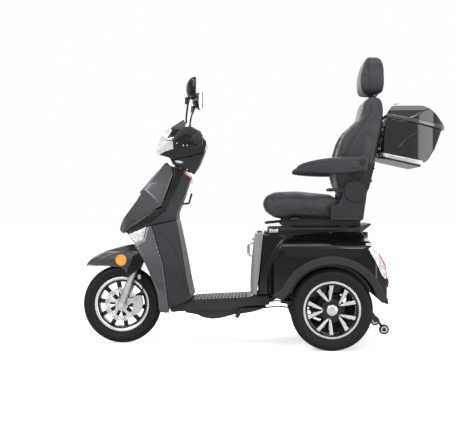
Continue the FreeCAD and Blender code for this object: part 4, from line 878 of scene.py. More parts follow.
def tail_lights():
    """Wrapped tail lamps, clear above and red at the edge, and the round reflectors on the tail."""
    def band(outline, low):
        """The strip of the body's corner that lies behind an outline, a little proud of the paint."""
        grown = [(x + (4 if x > REAR_LEFT.x + 100 else 0), y + 3) for x, y in BODY_PLAN]
        shape = combine(prism(outline, -352, -low), plan_prism(grown, 0, 900), "INTERSECT")
        return combine(shape, front_prism([(343, 100), (343, 470), (325, 524), (253, 559), (190, 590)], 0,
                                          900), "INTERSECT")
    clear = band(aft([(158, 548), (164, 522), (186, 486), (214, 436), (246, 372), (266, 352), (272, 372),
                      (262, 420),
                      (222, 490), (178, 556)]), 200)
    piece(pair(moulded(clear, 2.2, 3)), "tail_lamp_clear", "chassis", "lamp_clear", LAMP_SILVER)
    red = band(aft([(226, 486), (240, 468), (266, 424), (277, 352), (271, 352), (260, 412), (222, 480)]), 200)
    piece(pair(moulded(red, 2.2, 3)), "tail_lamp_red", "chassis", "lamp_red", RED, "tail_lamps")
    cups = []
    faces = []
    knobs = []
    for y in (-205, 205):
        at = Vector((REAR_LEFT.x + 276, y, 330))
        cups.append(cylinder(at, at + Vector((10, 0, 0)), 26, 48, 24))
        faces.append(cylinder(at + Vector((10, 0, 0)), at + Vector((13, 0, 0)), 21, 48, 18))
        knobs.append(cylinder(at + Vector((13, 0, 0)), at + Vector((15, 0, 0)), 6, 24))
    piece(hardware(cups, 1), "rear_reflector_cups", "chassis", "matte_black", CHARCOAL)
    piece(hardware(faces, 1), "rear_reflector_faces", "chassis", "lamp_red", RED)
    piece(hardware(knobs, 0.6), "rear_reflector_screws", "chassis", "matte_black", CHARCOAL)


def dampers():
    """The rear dampers with their coil springs."""
    bodies = []
    coils = []
    for side in (-1, 1):
        low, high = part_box("rear_shocks")
        x = (low.x + high.x) / 2 / MM
        y = side * 180
        foot, head = low.z / MM, high.z / MM
        bodies.append(cylinder((x, y, foot), (x, y, foot + 110), 14))
        bodies.append(cylinder((x, y, foot + 110), (x, y, head), 7))
        bodies.append(cylinder((x, y, foot + 36), (x, y, foot + 41), 24))
        bodies.append(cylinder((x, y, head - 26), (x, y, head - 20), 24))
        turns = 8
        steps = turns * 14
        path = [(x + 20 * math.cos(2 * math.pi * turns * i / steps),
                 y + 20 * math.sin(2 * math.pi * turns * i / steps),
                 foot + 44 + (head - foot - 73) * i / steps) for i in range(steps + 1)]
        coils.append(tube(path, 3.6, steps=1, sides=8))
    piece(hardware(bodies, 1), "damper_bodies", "chassis", "frame_steel", FRAME,
          "rear_shocks")
    piece(shaded(joined(coils)), "damper_springs", "chassis", "frame_steel", STEEL)


def seat_box_door():
    """The bright door that wraps the front of the seat box, with its drop handle and lock."""
    outer = curve(aft([(-368, 580), (-379, 558), (-392, 450), (-401, 335), (-401, 292), (-394, 268)]), 4)
    wrap = outer + aft([(-368, 266), (-352, 400), (-337, 562), (-337, 580)])
    skin = prism(wrap, -197, 197)
    plan = aft([(-402, 150), (-396, 178), (-380, 193), (-360, 197), (-330, 197)])
    skin = combine(skin, plan_prism(plan, 200, 700), "INTERSECT")
    hollow = prism([(x + 6.5, z) for x, z in outer] + aft([(-300, 262), (-300, 590)]), -191.5, 191.5)
    hollow_plan = aft([(-395, 146), (-389, 174), (-375, 187), (-356, 191.5), (-300, 191.5)])
    hollow = combine(hollow, plan_prism(hollow_plan, 200, 700), "INTERSECT")
    skin = combine(skin, hollow, "DIFFERENCE")
    piece(moulded(skin, 2.4, 3), "battery_door_panel", "battery_door", "silver_panel", SILVER, "seat_box_door")
    x = REAR_LEFT.x
    grip = tube([(x - 384, 0, 521), (x - 402, 0, 519), (x - 410, 0, 508), (x - 411, 0, 490), (x - 410, 0, 466),
                 (x - 402, 0, 457), (x - 388, 0, 456)], 6.5, 5)
    piece(shaded(grip), "door_pull", "battery_door", "chrome", CHROME)
    plate = [cylinder((x - 384, 0, 545), (x - 391, 0, 544), 11, 32), cylinder((x - 391, 0, 544),
                                                                              (x - 393, 0, 544), 7, 32)]
    piece(hardware(plate, 0.8), "door_lock", "battery_door", "chrome", CHROME)
    knuckle = cylinder((x - 392, -138, 268), (x - 392, 138, 268), 4.8, 24)
    piece(shaded(knuckle), "door_knuckle", "battery_door", "steel", STEEL)


# ---------------------------------------------------------------- handlebar group

def head_unit():
    """The cowl on the handlebar with its neck, headlight and instrument panel."""
    head_front = [(56, 880), (64, 925), (80, 985), (112, 1030), (117, 1062), (100, 1105), (66, 1140),
                  (40, 1166)]
    lens_seam = fore([(200, 976), (230, 992), (274, 1005), (274, 1047), (238, 1047), (268, 1097), (258, 1112)])
    dash_seam = fore([(347, 1122), (382, 1102), (405, 1092), (418, 1070)])
    neck_seam = fore([(250, 962), (262, 948), (420, 985)])
    cowl_side = fore([(322, 1160)]) + dash_seam + fore([(445, 1040), (436, 1004)]) + neck_seam[::-1]
    cowl_side = cowl_side + lens_seam
    cowl = limited(cowl_side, curve(head_front, 3))
    piece(moulded(cowl, 3, 4), "handlebar_cowl", "steering", "black_gloss", BLACK, "head_cowl")
    rear_line = curve(fore([(436, 1004), (422, 970), (402, 920), (373, 876)]), 4)
    neck_side = neck_seam + rear_line + fore([(332, 905), (268, 927)])
    neck = limited(neck_side, [(42, 850), (50, 900), (64, 960), (74, 1010)])
    piece(moulded(neck, 3, 5), "column_neck", "steering", "matte_black", CHARCOAL, "column_cover")
    lens_front = curve(fore([(192, 976), (182, 985), (186, 1008), (205, 1055), (230, 1100), (242, 1106)]), 4)
    lamp_side = lens_front + lens_seam[::-1]
    lamp = limited(lamp_side, curve(head_front, 3))
    nose_limit = curve(fore([(176, 34), (184, 70), (202, 98), (232, 116), (290, 130)]), 3)
    lamp = combine(lamp, plan_prism(nose_limit, 900, 1200), "INTERSECT")
    piece(moulded(lamp, 2.5, 3), "headlight_lens", "steering", "lamp_clear", HEADLIGHT, "headlight")
    cowl = bpy.data.objects["handlebar_cowl"]
    streaks = []
    for line, radius in (([(230, 1049), (268, 1082), (316, 1122)], 4),
                         ([(246, 1040), (276, 1066), (314, 1096)], 2)):
        seat = on_surface(cowl, dense(fore_at(line, -300), 6), -radius * 0.4)
        streaks.append(tube(seat, radius, steps=1, sides=10))
    piece(pair(joined(streaks)), "cowl_streaks", "steering", "chrome", CHROME)
    throat = cylinder(steer_point(901), steer_point(968), 45, 48, 40)
    piece(shaded(throat), "column_throat", "steering", "matte_black", FRAME)
    dash_side = dash_seam + fore([(424, 1074), (410, 1098), (386, 1109), (350, 1129)])
    dash = prism(dash_side, -62, 62)
    piece(moulded(dash, 2.5, 3), "instrument_panel", "steering", "black_gloss", BLACK, "dashboard")
    glass = prism(fore([(354, 1125.5), (384, 1109.5), (385, 1111.5), (355, 1127.5)]), -46, 46)
    piece(bevelled(glass, 0.6, 2), "instrument_window", "steering", "lamp_clear", SCREEN)
    key = [cylinder((FRONT.x + 398, 40, 1101), (FRONT.x + 400, 40, 1106), 9, 32),
           cylinder((FRONT.x + 400, 40, 1106), (FRONT.x + 402, 40, 1110), 3, 12)]
    piece(shaded(joined(key)), "key_switch", "steering", "chrome", CHROME)
    vent = prism(rounded(fore([(279, 946), (300, 948), (322, 940), (312, 933), (290, 935)]), 3), -62, -50)
    piece(bevelled(vent, 1.5, 2), "neck_badge_blank", "steering", "chrome", CHROME)
    screws = [cylinder((FRONT.x + dx, -72, z), (FRONT.x + dx, -60, z), 4, 16) for dx, z in ((337, 972),
                                                                                            (342, 900))]
    piece(hardware(screws, 0.6), "neck_screws", "steering", "steel", STEEL)


def grips_and_levers():
    """Ribbed grips, brake levers and moulded switch pods on the bar's ends."""
    grips = []
    caps = []
    blades = []
    blocks = []
    pods = []
    trims = []
    end_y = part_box("hand_grips")[1].y / MM
    x = FRONT.x + 409
    pod_outline = rounded(fore([(319, 1101), (354, 1112), (380, 1101), (405, 1087), (420, 1068), (411, 1018),
                                (388, 1004), (354, 997), (298, 1020), (276, 1042)]), 3)
    for side in (-1, 1):
        rings = []
        steps = 60
        for i in range(steps + 1):
            run = i / steps
            ripple = 0.7 * math.cos(run * 2 * math.pi * 15)
            rings.append((17 + ripple, side * (end_y - 8 - 110 * run)))
        centre = Vector((x, 0, 1044))
        grips.append(turned(centre, rings, 40))
        caps.append(turned(centre, [(2.5, side * (end_y - 3)), (3, side * end_y), (12, side * end_y),
                                    (18, side * (end_y - 2)), (21, side * (end_y - 5)),
                                    (21, side * (end_y - 9)),
                                    (17, side * (end_y - 11))], 40))
        pods.append(moulded(prism(pod_outline, *sorted((side * 126, side * 206))), 3.5, 12))
        opening = rounded(fore([(290, 1036), (318, 1064), (352, 1078), (372, 1062), (372, 1026), (340, 1012),
                                (306, 1018)]), 3)
        trims.append(bevelled(prism(opening, *sorted((side * 200, side * 207))), 1.5, 2))
        block = prism([(x - 23, 1020), (x + 19, 1022), (x + 22, 1050), (x + 12, 1069), (x - 14, 1069),
                       (x - 26, 1050)],
                      *sorted((side * 204, side * 246)))
        blocks.append(block)
        lever_path = [(x - 30, side * 224, 1046), (x - 50, side * 238, 1044), (x - 57, side * 262, 1042),
                      (x - 57, side * 300, 1041), (x - 52, side * 338, 1041), (x - 54, side * 348, 1041)]
        blades.append(tube(lever_path, 4.4, 6))
        blocks.append(prism([(x - 60, 1034), (x - 12, 1033), (x - 12, 1056), (x - 44, 1054)],
                            *sorted((side * 207, side * 238))))
    piece(shaded(joined(grips)), "grip_sleeves", "steering", "rubber", GRIP, "hand_grips")
    piece(shaded(joined(caps)), "grip_caps", "steering", "rubber", CHARCOAL)
    piece(shaded(joined(blades)), "lever_blades", "steering", "frame_steel", FRAME, "brake_levers")
    piece(joined(pods), "switch_pods", "steering", "matte_black", CHARCOAL)
    piece(joined(trims), "switch_pod_recesses", "steering", "black_gloss", BLACK)
    piece(hardware(blocks, 3, 3), "switch_blocks", "steering", "matte_black", CHARCOAL)
    bolts = [cylinder((FRONT.x + dx, side * 206, z), (FRONT.x + dx, side * 210, z), 3.5, 12)
             for side in (-1, 1) for dx, z in ((300, 1028), (332, 1016), (352, 1017))]
    piece(hardware(bolts, 0.5), "pod_screws", "steering", "steel", STEEL)


def mirrors():
    """Pointed mirrors on slim stalks with bright nuts, each turned a little towards the rider."""
    shape = rounded([(-70, -22), (-66, 8), (-34, 36), (30, 54), (62, 56), (72, 34), (72, -18), (62, -44),
                     (10, -54),
                     (-46, -46)], 5)
    turn = math.radians(6)
    backs = []
    glasses = []
    stalks = []
    nuts = []
    foot_x = FRONT.x + 376
    for side in (-1, 1):
        centre = Vector((foot_x + 14, side * 266, 1289))
        out = Vector((math.sin(turn), side * math.cos(turn), 0))
        rear = Vector((math.cos(turn), -side * math.sin(turn), 0))

        def at(u, w, depth):
            return centre + out * u + Vector((0, 0, w)) + rear * depth
        rings = [(0.87, 2), (0.9, 6), (0.97, 6), (1.0, 3), (1.0, -1), (0.98, -8), (0.9, -18), (0.74, -28),
                 (0.5, -36),
                 (0.22, -40), (0.03, -41)]
        verts = [at(u * grow, w * grow, depth) for grow, depth in rings for u, w in shape]
        count = len(shape)
        faces = [(i * count + k, i * count + (k + 1) % count, (i + 1) * count + (k + 1) % count,
                  (i + 1) * count + k)
                 for i in range(len(rings) - 1) for k in range(count)]
        faces.append(tuple(range((len(rings) - 1) * count, len(rings) * count)))
        backs.append(solid(verts, faces))
        face = [at(u * 0.89, w * 0.89, depth) for depth in (-3, 3) for u, w in shape]
        sides = [(k, (k + 1) % count, (k + 1) % count + count, k + count) for k in range(count)]
        glasses.append(solid(face, [tuple(range(count)), tuple(range(count, 2 * count))] + sides))
        foot = foot_x - 31
        stalk = [(foot, side * 156, 1112), (foot - 2, side * 158, 1140), (foot + 1, side * 168, 1176),
                 (foot + 8, side * 200, 1212), (foot + 16, side * 232, 1238), (foot + 24, side * 252, 1264)]
        stalks.append(tube(stalk, 5, 6))
        stalks.append(cylinder((foot + 6, side * 240, 1220), (foot + 10, side * 252, 1252), 9, 20, 12))
        stalks.append(cylinder((foot + 4, side * 156, 1050), (foot, side * 156, 1090), 8, 20))
        nuts.append(cylinder((foot + 0.5, side * 156, 1086), (foot, side * 156, 1104), 10, 6))
        nuts.append(cylinder((foot, side * 156, 1104), (foot, side * 156, 1130), 7.5, 24, 6))
    piece(shaded(joined(backs), 50), "mirror_backs", "steering", "mirror_black", BLACK, "mirrors")
    piece(bevelled(joined(glasses), 0.8, 2), "mirror_glasses", "steering", "mirror_black", GLASS)
    piece(shaded(joined(stalks)), "mirror_stalks", "steering", "mirror_black", FRAME)
    piece(hardware(nuts, 1), "mirror_nuts", "steering", "chrome", CHROME)


# ---------------------------------------------------------------- upholstery

FILLING = {"quality": 4, "mass": 0.25, "tension_stiffness": 12, "compression_stiffness": 12,
           "shear_stiffness": 5,
           "bending_stiffness": 25, "use_pressure": True, "uniform_pressure_force": 4}


def inflate(obj, cap, frames=20):
    """Lets pressure fill a padded cover; no point moves further than the cap, in millimetres."""
    start = [v.co.copy() for v in obj.data.vertices]
    cloth = obj.modifiers.new("Cloth", "CLOTH")
    for key, value in FILLING.items():
        setattr(cloth.settings, key, value)
    cloth.settings.effector_weights.gravity = 0
    cloth.point_cache.frame_end = frames
    scene = bpy.context.scene
    for number in range(1, frames + 1):
        scene.frame_set(number)
    graph = bpy.context.evaluated_depsgraph_get()
    result = obj.evaluated_get(graph).data
    moved = [v.co.copy() for v in result.vertices]
    obj.modifiers.clear()
    for vert, before, after in zip(obj.data.vertices, start, moved):
        step = after - before
        if step.length > cap * MM:
            step = step.normalized() * cap * MM
        vert.co = before + step
    scene.frame_set(1)


def sew(obj, path, width, depth):
    """Draws a cover in along a seam."""
    points = [Vector(p) * MM for p in path]
    reach = width * MM
    for vert in obj.data.vertices:
        nearest = min((vert.co - p).length for p in points)
        if nearest < reach:
            vert.co -= vert.normal * depth * MM * (1 - nearest / reach) ** 1.5


def on_surface(obj, path, lift=0.0):
    """The path's points moved on to the nearest place of a cover."""
    graph = bpy.context.evaluated_depsgraph_get()
    tree = BVHTree.FromObject(obj, graph)
    placed = []
    for point in path:
        hit, normal, _, _ = tree.find_nearest(Vector(point) * MM)
        placed.append((hit + normal * lift * MM) / MM)
    return placed


def soft_form(shape, voxel, rounds, cap):
    """A stuffed form: an even mesh with soft corners, filled out by pressure."""
    moulded(shape, voxel, rounds)
    inflate(shape, cap)
    modify(shape, "SMOOTH", factor=0.5, iterations=22)
    bake(shape)
    shape.data.shade_smooth()
    return shape


def dense(points, spacing=6):
    """Points every few millimetres along a smooth open curve through the given ones."""
    rough = [Vector(p) for p in curve(points, 24)]
    result = [rough[0]]
    for point in rough:
        if (point - result[-1]).length >= spacing:
            result.append(point)
    return result


def piping(cover, path, name, body, radius=2.6):
    """A corded seam laid on a cover."""
    seat = on_surface(cover, path, 0.4)
    piece(shaded(tube(seat, radius, steps=1, sides=8)), name, body, "upholstery", HIDE_SIDE)


def stitching(cover, path, name, body):
    """A row of short raised stitches along a path on a cover."""
    seat = on_surface(cover, path, 0.5)
    stitches = []
    for start, end in zip(seat[::2], seat[1::2]):
        if 2 < (end - start).length < 12:
            stitches.append(cylinder(start, start.lerp(end, 0.75), 0.8, 6))
    if stitches:
        piece(joined(stitches), name, body, "upholstery", THREAD)


def seat_cushion():
    """The seat pad: sewn channels, a corded border and rows of stitches."""
    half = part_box("seat_cushion")[1].y / MM
    side = aft([(-339, 727), (-331, 755), (-311, 771), (-281, 776), (-161, 779), (-41, 766), (6, 762),
                (34, 750), (45, 738), (47, 690),
                (40, 658), (-289, 658), (-318, 681), (-334, 700)])
    shape = prism(side, -half + 8, half - 8)
    plan = aft([(-342, half - 60), (-336, half - 28), (-316, half - 10), (-280, half - 4), (-60, half - 4),
                (50, half - 14)])
    shape = combine(shape, plan_prism(plan, 600, 820), "INTERSECT")
    cushion = soft_form(shape, 6, 9, 8)
    border = []
    for x, y in rounded(mirrored_outline(aft([(-338, half - 90), (-322, half - 26), (-270, half - 6),
                                              (-60, half - 6),
                                              (8, half - 18)])), 20):
        border.append((x, y, 748 + 12 * min(1, max(0, (x - REAR_LEFT.x + 330) / 120))))
    sew(cushion, border, 14, 5)
    channels = []
    for y in (-128, 128):
        channels.append([(REAR_LEFT.x + dx, y, 800) for dx in range(-330, 6, 6)])
    channels.append([(REAR_LEFT.x - 150, y, 800) for y in range(-126, 127, 6)])
    channels.append([(REAR_LEFT.x - 250, y, 800) for y in range(-126, 127, 6)])
    for channel in channels:
        line = on_surface(cushion, channel)
        sew(cushion, line, 13, 6)
    keep_inside(cushion, "seat_cushion", 6)
    piece(cushion, "seat_pad", "seat", "upholstery", HIDE, "seat_cushion")
    piping(cushion, border + border[:1], "seat_pad_piping", "seat")
    for number, channel in enumerate(channels):
        stitching(cushion, [(x, y + 7, z) if number < 2 else (x + 7, y, z) for x, y, z in channel],
                  f"seat_pad_stitches_{number}", "seat")


def keep_inside(obj, node, spare):
    """Holds a cover within its CAD solid's box and a small allowance."""
    low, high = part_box(node)
    gap = Vector((spare, spare, spare)) * MM
    low = low - gap
    high = high + gap
    for vert in obj.data.vertices:
        vert.co = Vector([min(max(c, a), b) for c, a, b in zip(vert.co, low, high)])


def seat_back():
    """The tall back: deep side wings, a waisted middle panel and corded side seams."""
    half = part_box("backrest_cushion")[1].y / MM
    front = curve(aft([(42, 800), (27, 868), (36, 950), (46, 990), (62, 1040), (83, 1080), (112, 1112),
                       (160, 1162),
                         (176, 1220), (190, 1262)]), 3)
    rear = curve(aft([(205, 1274), (247, 1266), (261, 1238), (259, 1160), (242, 1050), (217, 930), (187, 805),
                        (168, 752), (140, 716), (98, 716), (66, 760)]), 3)
    shape = prism(front + rear, -half + 6, half - 6)
    waist = [(half - 18, 650), (half - 8, 800), (half - 4, 900), (half - 4, 1080), (half - 24, 1180),
             (half - 52, 1240),
             (half - 80, 1284)]
    shape = combine(shape, front_prism(curve(waist, 3), -400, 900), "INTERSECT")
    hollow = plan_prism(aft([(-60, half - 78), (40, half - 86), (80, half - 104), (120, half - 150)]), 760,
                   1130)
    dish = prism(aft([(-40, 780), (48, 780), (40, 868), (48, 950), (58, 992), (76, 1044), (96, 1084),
                      (128, 1122),
                      (100, 1140), (-40, 1140)]), -300, 300)
    shape = combine(shape, combine(hollow, dish, "INTERSECT"), "DIFFERENCE")
    back = soft_form(shape, 6, 8, 8)
    seams = []
    for side in (-1, 1):
        line = [(REAR_LEFT.x + dx, side * (half - tuck), z) for dx, tuck, z in
                ((66, 8, 800), (74, 4, 870), (79, 3, 960), (99, 3, 1020), (139, 4, 1090), (179, 17, 1150),
                 (200, 30, 1190), (210, 44, 1222))]
        seams.append(dense(line, 6))
    for line in seams:
        sew(back, on_surface(back, line), 14, 5)
    panel = []
    for side in (-1, 1):
        line = [(REAR_LEFT.x - 20, side * y, z) for y, z in ((132, 810), (138, 880), (142, 960), (138, 1040),
                                                            (124, 1110))]
        panel.append(dense(line, 6))
    for z, x in ((880, -20), (960, -10), (1040, 10), (1120, 40)):
        panel.append([(REAR_LEFT.x + x, y, z) for y in range(-126, 127, 6)])
    for line in panel:
        sew(back, on_surface(back, line), 13, 6)
    keep_inside(back, "backrest_cushion", 5)
    piece(back, "seat_back_pad", "backrest", "upholstery", HIDE, "backrest_cushion")
    for number, line in enumerate(seams):
        piping(back, line, f"seat_back_piping_{number}", "backrest")
        stitching(back, [(p.x - 9, p.y, p.z) for p in line], f"seat_back_stitches_{number}", "backrest")
    for number, line in enumerate(panel):
        stitching(back, [(x, y, z + 7) for x, y, z in line], f"seat_back_rows_{number}", "backrest")
    shell = prism(curve(aft([(190, 802), (220, 930), (245, 1050), (262, 1160), (262, 1198)]), 4)
                  + aft([(258, 1198), (258, 1160), (241, 1052), (216, 932), (186, 806)]), -150, 150)
    piece(moulded(shell, 2.5, 2), "seat_back_panel", "backrest", "matte_black", CHARCOAL)


def head_rest():
    """The head pad with its corded sides, on two posts that slide in collars."""
    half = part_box("headrest")[1].y / MM
    side = rounded(aft([(163, 1310), (163, 1360), (170, 1410), (184, 1456), (200, 1472), (236, 1474),
                        (262, 1462),
                        (273, 1430), (275, 1380), (274, 1310), (262, 1286), (200, 1281), (172, 1288)]), 3)
    shape = prism(side, -half + 5, half - 5)
    shape = combine(shape, front_prism(curve([(half - 30, 1286), (half - 8, 1312), (half - 4, 1360),
                                                        (half - 10, 1420), (half - 44, 1472)], 3),
                                 -400, 900), "INTERSECT")
    rest = soft_form(shape, 4, 8, 5)
    loops = []
    for side_sign in (-1, 1):
        x = REAR_LEFT.x
        line = [(x + 206, side_sign * (half - 20), 1276), (x + 200, side_sign * (half - 12), 1330),
                (x + 198, side_sign * (half - 8), 1390),
                (x + 200, side_sign * (half - 20), 1440), (x + 212, side_sign * (half - 36), 1480)]
        loops.append(dense(line, 6))
    for line in loops:
        sew(rest, on_surface(rest, line), 12, 4)
    keep_upper(rest, "headrest")
    piece(rest, "headrest_pad", "headrest", "upholstery", HIDE, "headrest")
    for number, line in enumerate(loops):
        piping(rest, line, f"headrest_piping_{number}", "headrest", 2.2)
    posts = []
    for y in (-60, 60):
        lean = Vector((math.sin(math.radians(6)), 0, math.cos(math.radians(6))))
        foot = Vector((REAR_LEFT.x + 222, y, 1200))
        posts.append(cylinder(foot - lean * 55, foot + lean * 110, 6, 24))
    piece(shaded(joined(posts)), "headrest_posts", "headrest", "chrome", CHROME)
    collars = []
    for y in (-60, 60):
        at = Vector((REAR_LEFT.x + 229, y, 1266))
        collars.append(cylinder(at, at + Vector((1.5, 0, 14)), 14, 32, 12))
    piece(hardware(collars, 1.5), "headrest_collars", "backrest", "matte_black", CHARCOAL)


def keep_upper(obj, node, spare=0.003):
    """Holds a cover below its CAD solid's top and, with a small allowance in metres, within its width."""
    low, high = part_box(node)
    for vert in obj.data.vertices:
        vert.co.y = min(max(vert.co.y, low.y - spare), high.y + spare)
        vert.co.z = min(vert.co.z, high.z)


def arm_rests():
    """Padded arms, rounded at the nose, each on its pivot bolt."""
    outline = rounded(aft([(-176, 893), (-168, 908), (-141, 924), (-81, 939), (-21, 948), (49, 951), (129, 955),
                           (172, 957), (172, 892), (150, 885), (24, 872), (-81, 876), (-161, 882)]), 3)
    for word, side in (("left", -1), ("right", 1)):
        node = f"armrest_{word}"
        low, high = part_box(node)
        centre_y = (low.y + high.y) / 2 / MM
        half = (high.y - low.y) / 2 / MM
        arm = moulded(prism(outline, centre_y - half + 1, centre_y + half - 1), 4, 9)
        inflate(arm, 5, 10)
        keep_inside(arm, node, 3)
        line = dense([(REAR_LEFT.x + dx, centre_y + side * half, z) for dx, z in
                      ((-168, 897), (-120, 912), (-40, 926), (60, 932), (165, 934))], 6)
        sew(arm, on_surface(arm, line), 10, 3)
        piece(arm, f"arm_pad_{word}", node, "upholstery", HIDE, node)
        piping(arm, line, f"arm_piping_{word}", node, 1.8)
        outer = centre_y + side * half
        x, z = REAR_LEFT.x + 147, 925
        bolt = joined([cylinder((x, outer - side * 4, z), (x, outer + side * 3.5, z), 15, 40),
                       cylinder((x, outer + side * 3.5, z), (x, outer + side * 6, z), 10, 6)])
        piece(bevelled(shaded(bolt), 0.8), f"arm_bolt_{word}", "backrest", "matte_black", CHARCOAL)


# ---------------------------------------------------------------- seat hardware

def recliner_covers():
    """Moulded covers over the recliner, with a round boss at the pivot, their bolts, and the recliner lever and
    knob.
    """
    half = abs(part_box("seat_frame")[0].y) / MM - 14
    for word, side in (("left", -1), ("right", 1)):
        outline = aft([(-1, 712), (-1, 675), (12, 662), (150, 662), (160, 676), (175, 758), (172, 800),
                       (158, 824),
                       (119, 842), (84, 828), (64, 802), (54, 752), (34, 720)])
        low, high = sorted((side * (half - 3), side * (half + 5)))
        plate = moulded(prism(rounded(outline, 3), low, high), 2.5, 3)
        piece(plate, f"recliner_cover_{word}", "seat", "matte_black", CHARCOAL)
        at = Vector((REAR_LEFT.x + 119, side * half, 785))
        boss = turned(at, [(0.2, side * 12), (40, side * 12), (44, side * 10.5), (47, side * 12),
                           (51, side * 11),
                           (54, side * 7), (56, side * 3)], 96)
        piece(shaded(boss), f"recliner_boss_{word}", "seat", "matte_black", CHARCOAL)
        bolts = [cylinder((REAR_LEFT.x + dx, side * (half + 4), z), (REAR_LEFT.x + dx, side * (half + 6), z),
                          7, 24)
                 for dx, z in ((62, 710), (144, 725))]
        piece(hardware(bolts, 0.6), f"recliner_bolts_{word}", "seat", "frame_steel", FRAME)
    y = -half - 8
    x = REAR_LEFT.x
    lever = tube([(x + 70, y, 790), (x + 30, y, 791), (x - 4, y, 793)], 4, 4)
    piece(shaded(lever), "recliner_lever", "seat", "matte_black", CHARCOAL)
    knob = moulded(prism(rounded(aft([(-22, 786), (-24, 796), (-8, 802), (20, 798), (24, 790), (10, 785)]), 3),
                         y - 5, y + 5), 1.5, 4)
    piece(knob, "recliner_knob", "seat", "matte_black", CHARCOAL)
    anti_tip_hubs()


def anti_tip_hubs():
    """Bright hubs in the small wheels behind."""
    for word, side in (("left", -1), ("right", 1)):
        centre = middle_of(f"anti_tip_wheel_{word}")
        ring = turned(centre, [(9, side * 10.4), (16, side * 10.4), (18, side * 9), (18, side * -9),
                               (16, side * -10.4),
                               (9, side * -10.4)], 40)
        piece(shaded(ring), f"anti_tip_hub_{word}", f"anti_tip_wheel_{word}", "steel", STEEL)


# ---------------------------------------------------------------- top box

BOX_PLAN = aft([(250, 150), (256, 176), (272, 194), (300, 202), (350, 205), (400, 203), (450, 195),
                (500, 178), (545, 148),
                (574, 108), (589, 58)])


def top_box():
    """The hollow tub and lid, their bands, pad, reflector and lock, and the rack beneath."""
    plan = curve(BOX_PLAN, 3)
    mid_x = REAR_LEFT.x + 400
    side = aft([(281, 1157), (253, 985), (266, 972), (300, 963), (470, 930), (488, 943), (526, 1000),
                (568, 1098)])
    outer = combine(prism(side, -260, 260), plan_prism(plan, 800, 1300), "INTERSECT")
    inner_side = aft([(288, 1180), (261, 990), (270, 979), (302, 970), (464, 938), (480, 949), (517, 1003),
                      (562, 1120)])
    inner_plan = [(x + (7 if x < mid_x else -7), y - 7) for x, y in plan]
    inner = combine(prism(inner_side, -240, 240), plan_prism(inner_plan, 800, 1300), "INTERSECT")
    box = combine(outer, inner, "DIFFERENCE")
    piece(moulded(box, 3, 3), "box_tub", "backrest", "black_gloss", SMOKE, "top_box")
    crown = curve(aft([(278, 1172), (288, 1188), (309, 1214), (349, 1229), (399, 1233), (469, 1216),
                       (525, 1181),
                         (560, 1144)]), 3)
    lid_side = aft([(279, 1159)]) + crown + aft([(588, 1122), (588, 1116), (582, 1097)])
    lid_plan = [(x + (2 if x > mid_x else 0), y + 4) for x, y in plan]
    dome = [(207, 1080), (208, 1150), (196, 1190), (166, 1216), (110, 1236)]
    lid = limited(lid_side, dome, plan=lid_plan)
    lid_inner = aft([(286, 1060)]) + [(x + 2, z - 7) for x, z in crown] + aft([(578, 1112), (578, 1040)])
    inside_plan = [(x + (6 if x < mid_x else -7), y - 7) for x, y in lid_plan]
    inside = limited(lid_inner, [(y - 7, z - 6) for y, z in dome], plan=inside_plan)
    lid = combine(lid, inside, "DIFFERENCE")
    piece(moulded(lid, 3, 3), "box_lid_shell", "box_lid", "black_gloss", SMOKE, "top_box_lid")
    pad = combine(prism(aft([(336, 1222), (342, 1239), (430, 1240), (440, 1216)]), -44, 44),
                  plan_prism(aft([(334, 30), (350, 44), (424, 44), (440, 30)]), 1100, 1300),
                  "INTERSECT")
    piece(moulded(pad, 2, 4), "box_lid_pad", "box_lid", "matte_black", CHARCOAL)
    band_side = aft([(278, 1158), (279, 1176), (588, 1116), (583, 1096)])
    band = limited(band_side, [(215, 1000), (215, 1200)], plan=[(x + 3, y + 4) for x, y in lid_plan])
    hole = plan_prism([(x + (4 if x < mid_x else -4), y - 2) for x, y in lid_plan], 800, 1300)
    band = combine(band, hole, "DIFFERENCE")
    piece(moulded(band, 2, 2), "box_lid_band", "box_lid", "grey_gloss", GREY)
    eye = combine(prism(aft([(506, 1186), (528, 1186), (548, 1164), (534, 1158)]), -120, 120),
                  plan_prism(lid_plan, 800, 1300), "INTERSECT")
    piece(moulded(eye, 2, 3), "box_reflector", "box_lid", "lamp_red", RED)
    lock = cylinder((REAR_LEFT.x + 560, 0, 1080), (REAR_LEFT.x + 576, 0, 1076), 13, 32)
    piece(bevelled(shaded(lock), 1), "box_lock", "backrest", "chrome", CHROME)
    base_plan = [(x + (6 if x > mid_x else -2), y + 6) for x, y in plan]
    base = limited(aft([(242, 984), (247, 963), (300, 950), (452, 917), (464, 938), (300, 971)]),
                   [(220, 800), (220, 1200)],
                   plan=base_plan)
    piece(moulded(base, 2.2, 2), "rack_band", "backrest", "chrome", ALLOY)
    tray = limited(aft([(246, 962), (300, 950), (452, 917), (449, 908), (300, 941), (250, 952)]),
                   [(220, 800), (220, 1200)], plan=plan)
    piece(moulded(tray, 2.5, 2), "rack_tray", "backrest", "matte_black", FRAME)
    path = []
    for dx, z in ((341, 1006), (356, 1026), (382, 1052), (410, 1068), (438, 1079), (470, 1084)):
        path.append((REAR_LEFT.x + dx, -240, z))
    tub = bpy.data.objects["box_tub"]
    crease = tube(on_surface(tub, dense(path, 6), 0), 1.1, steps=1, sides=8)
    piece(pair(crease), "box_crease", "backrest", "black_gloss", GREY)


# ---------------------------------------------------------------- camera, lights and floor

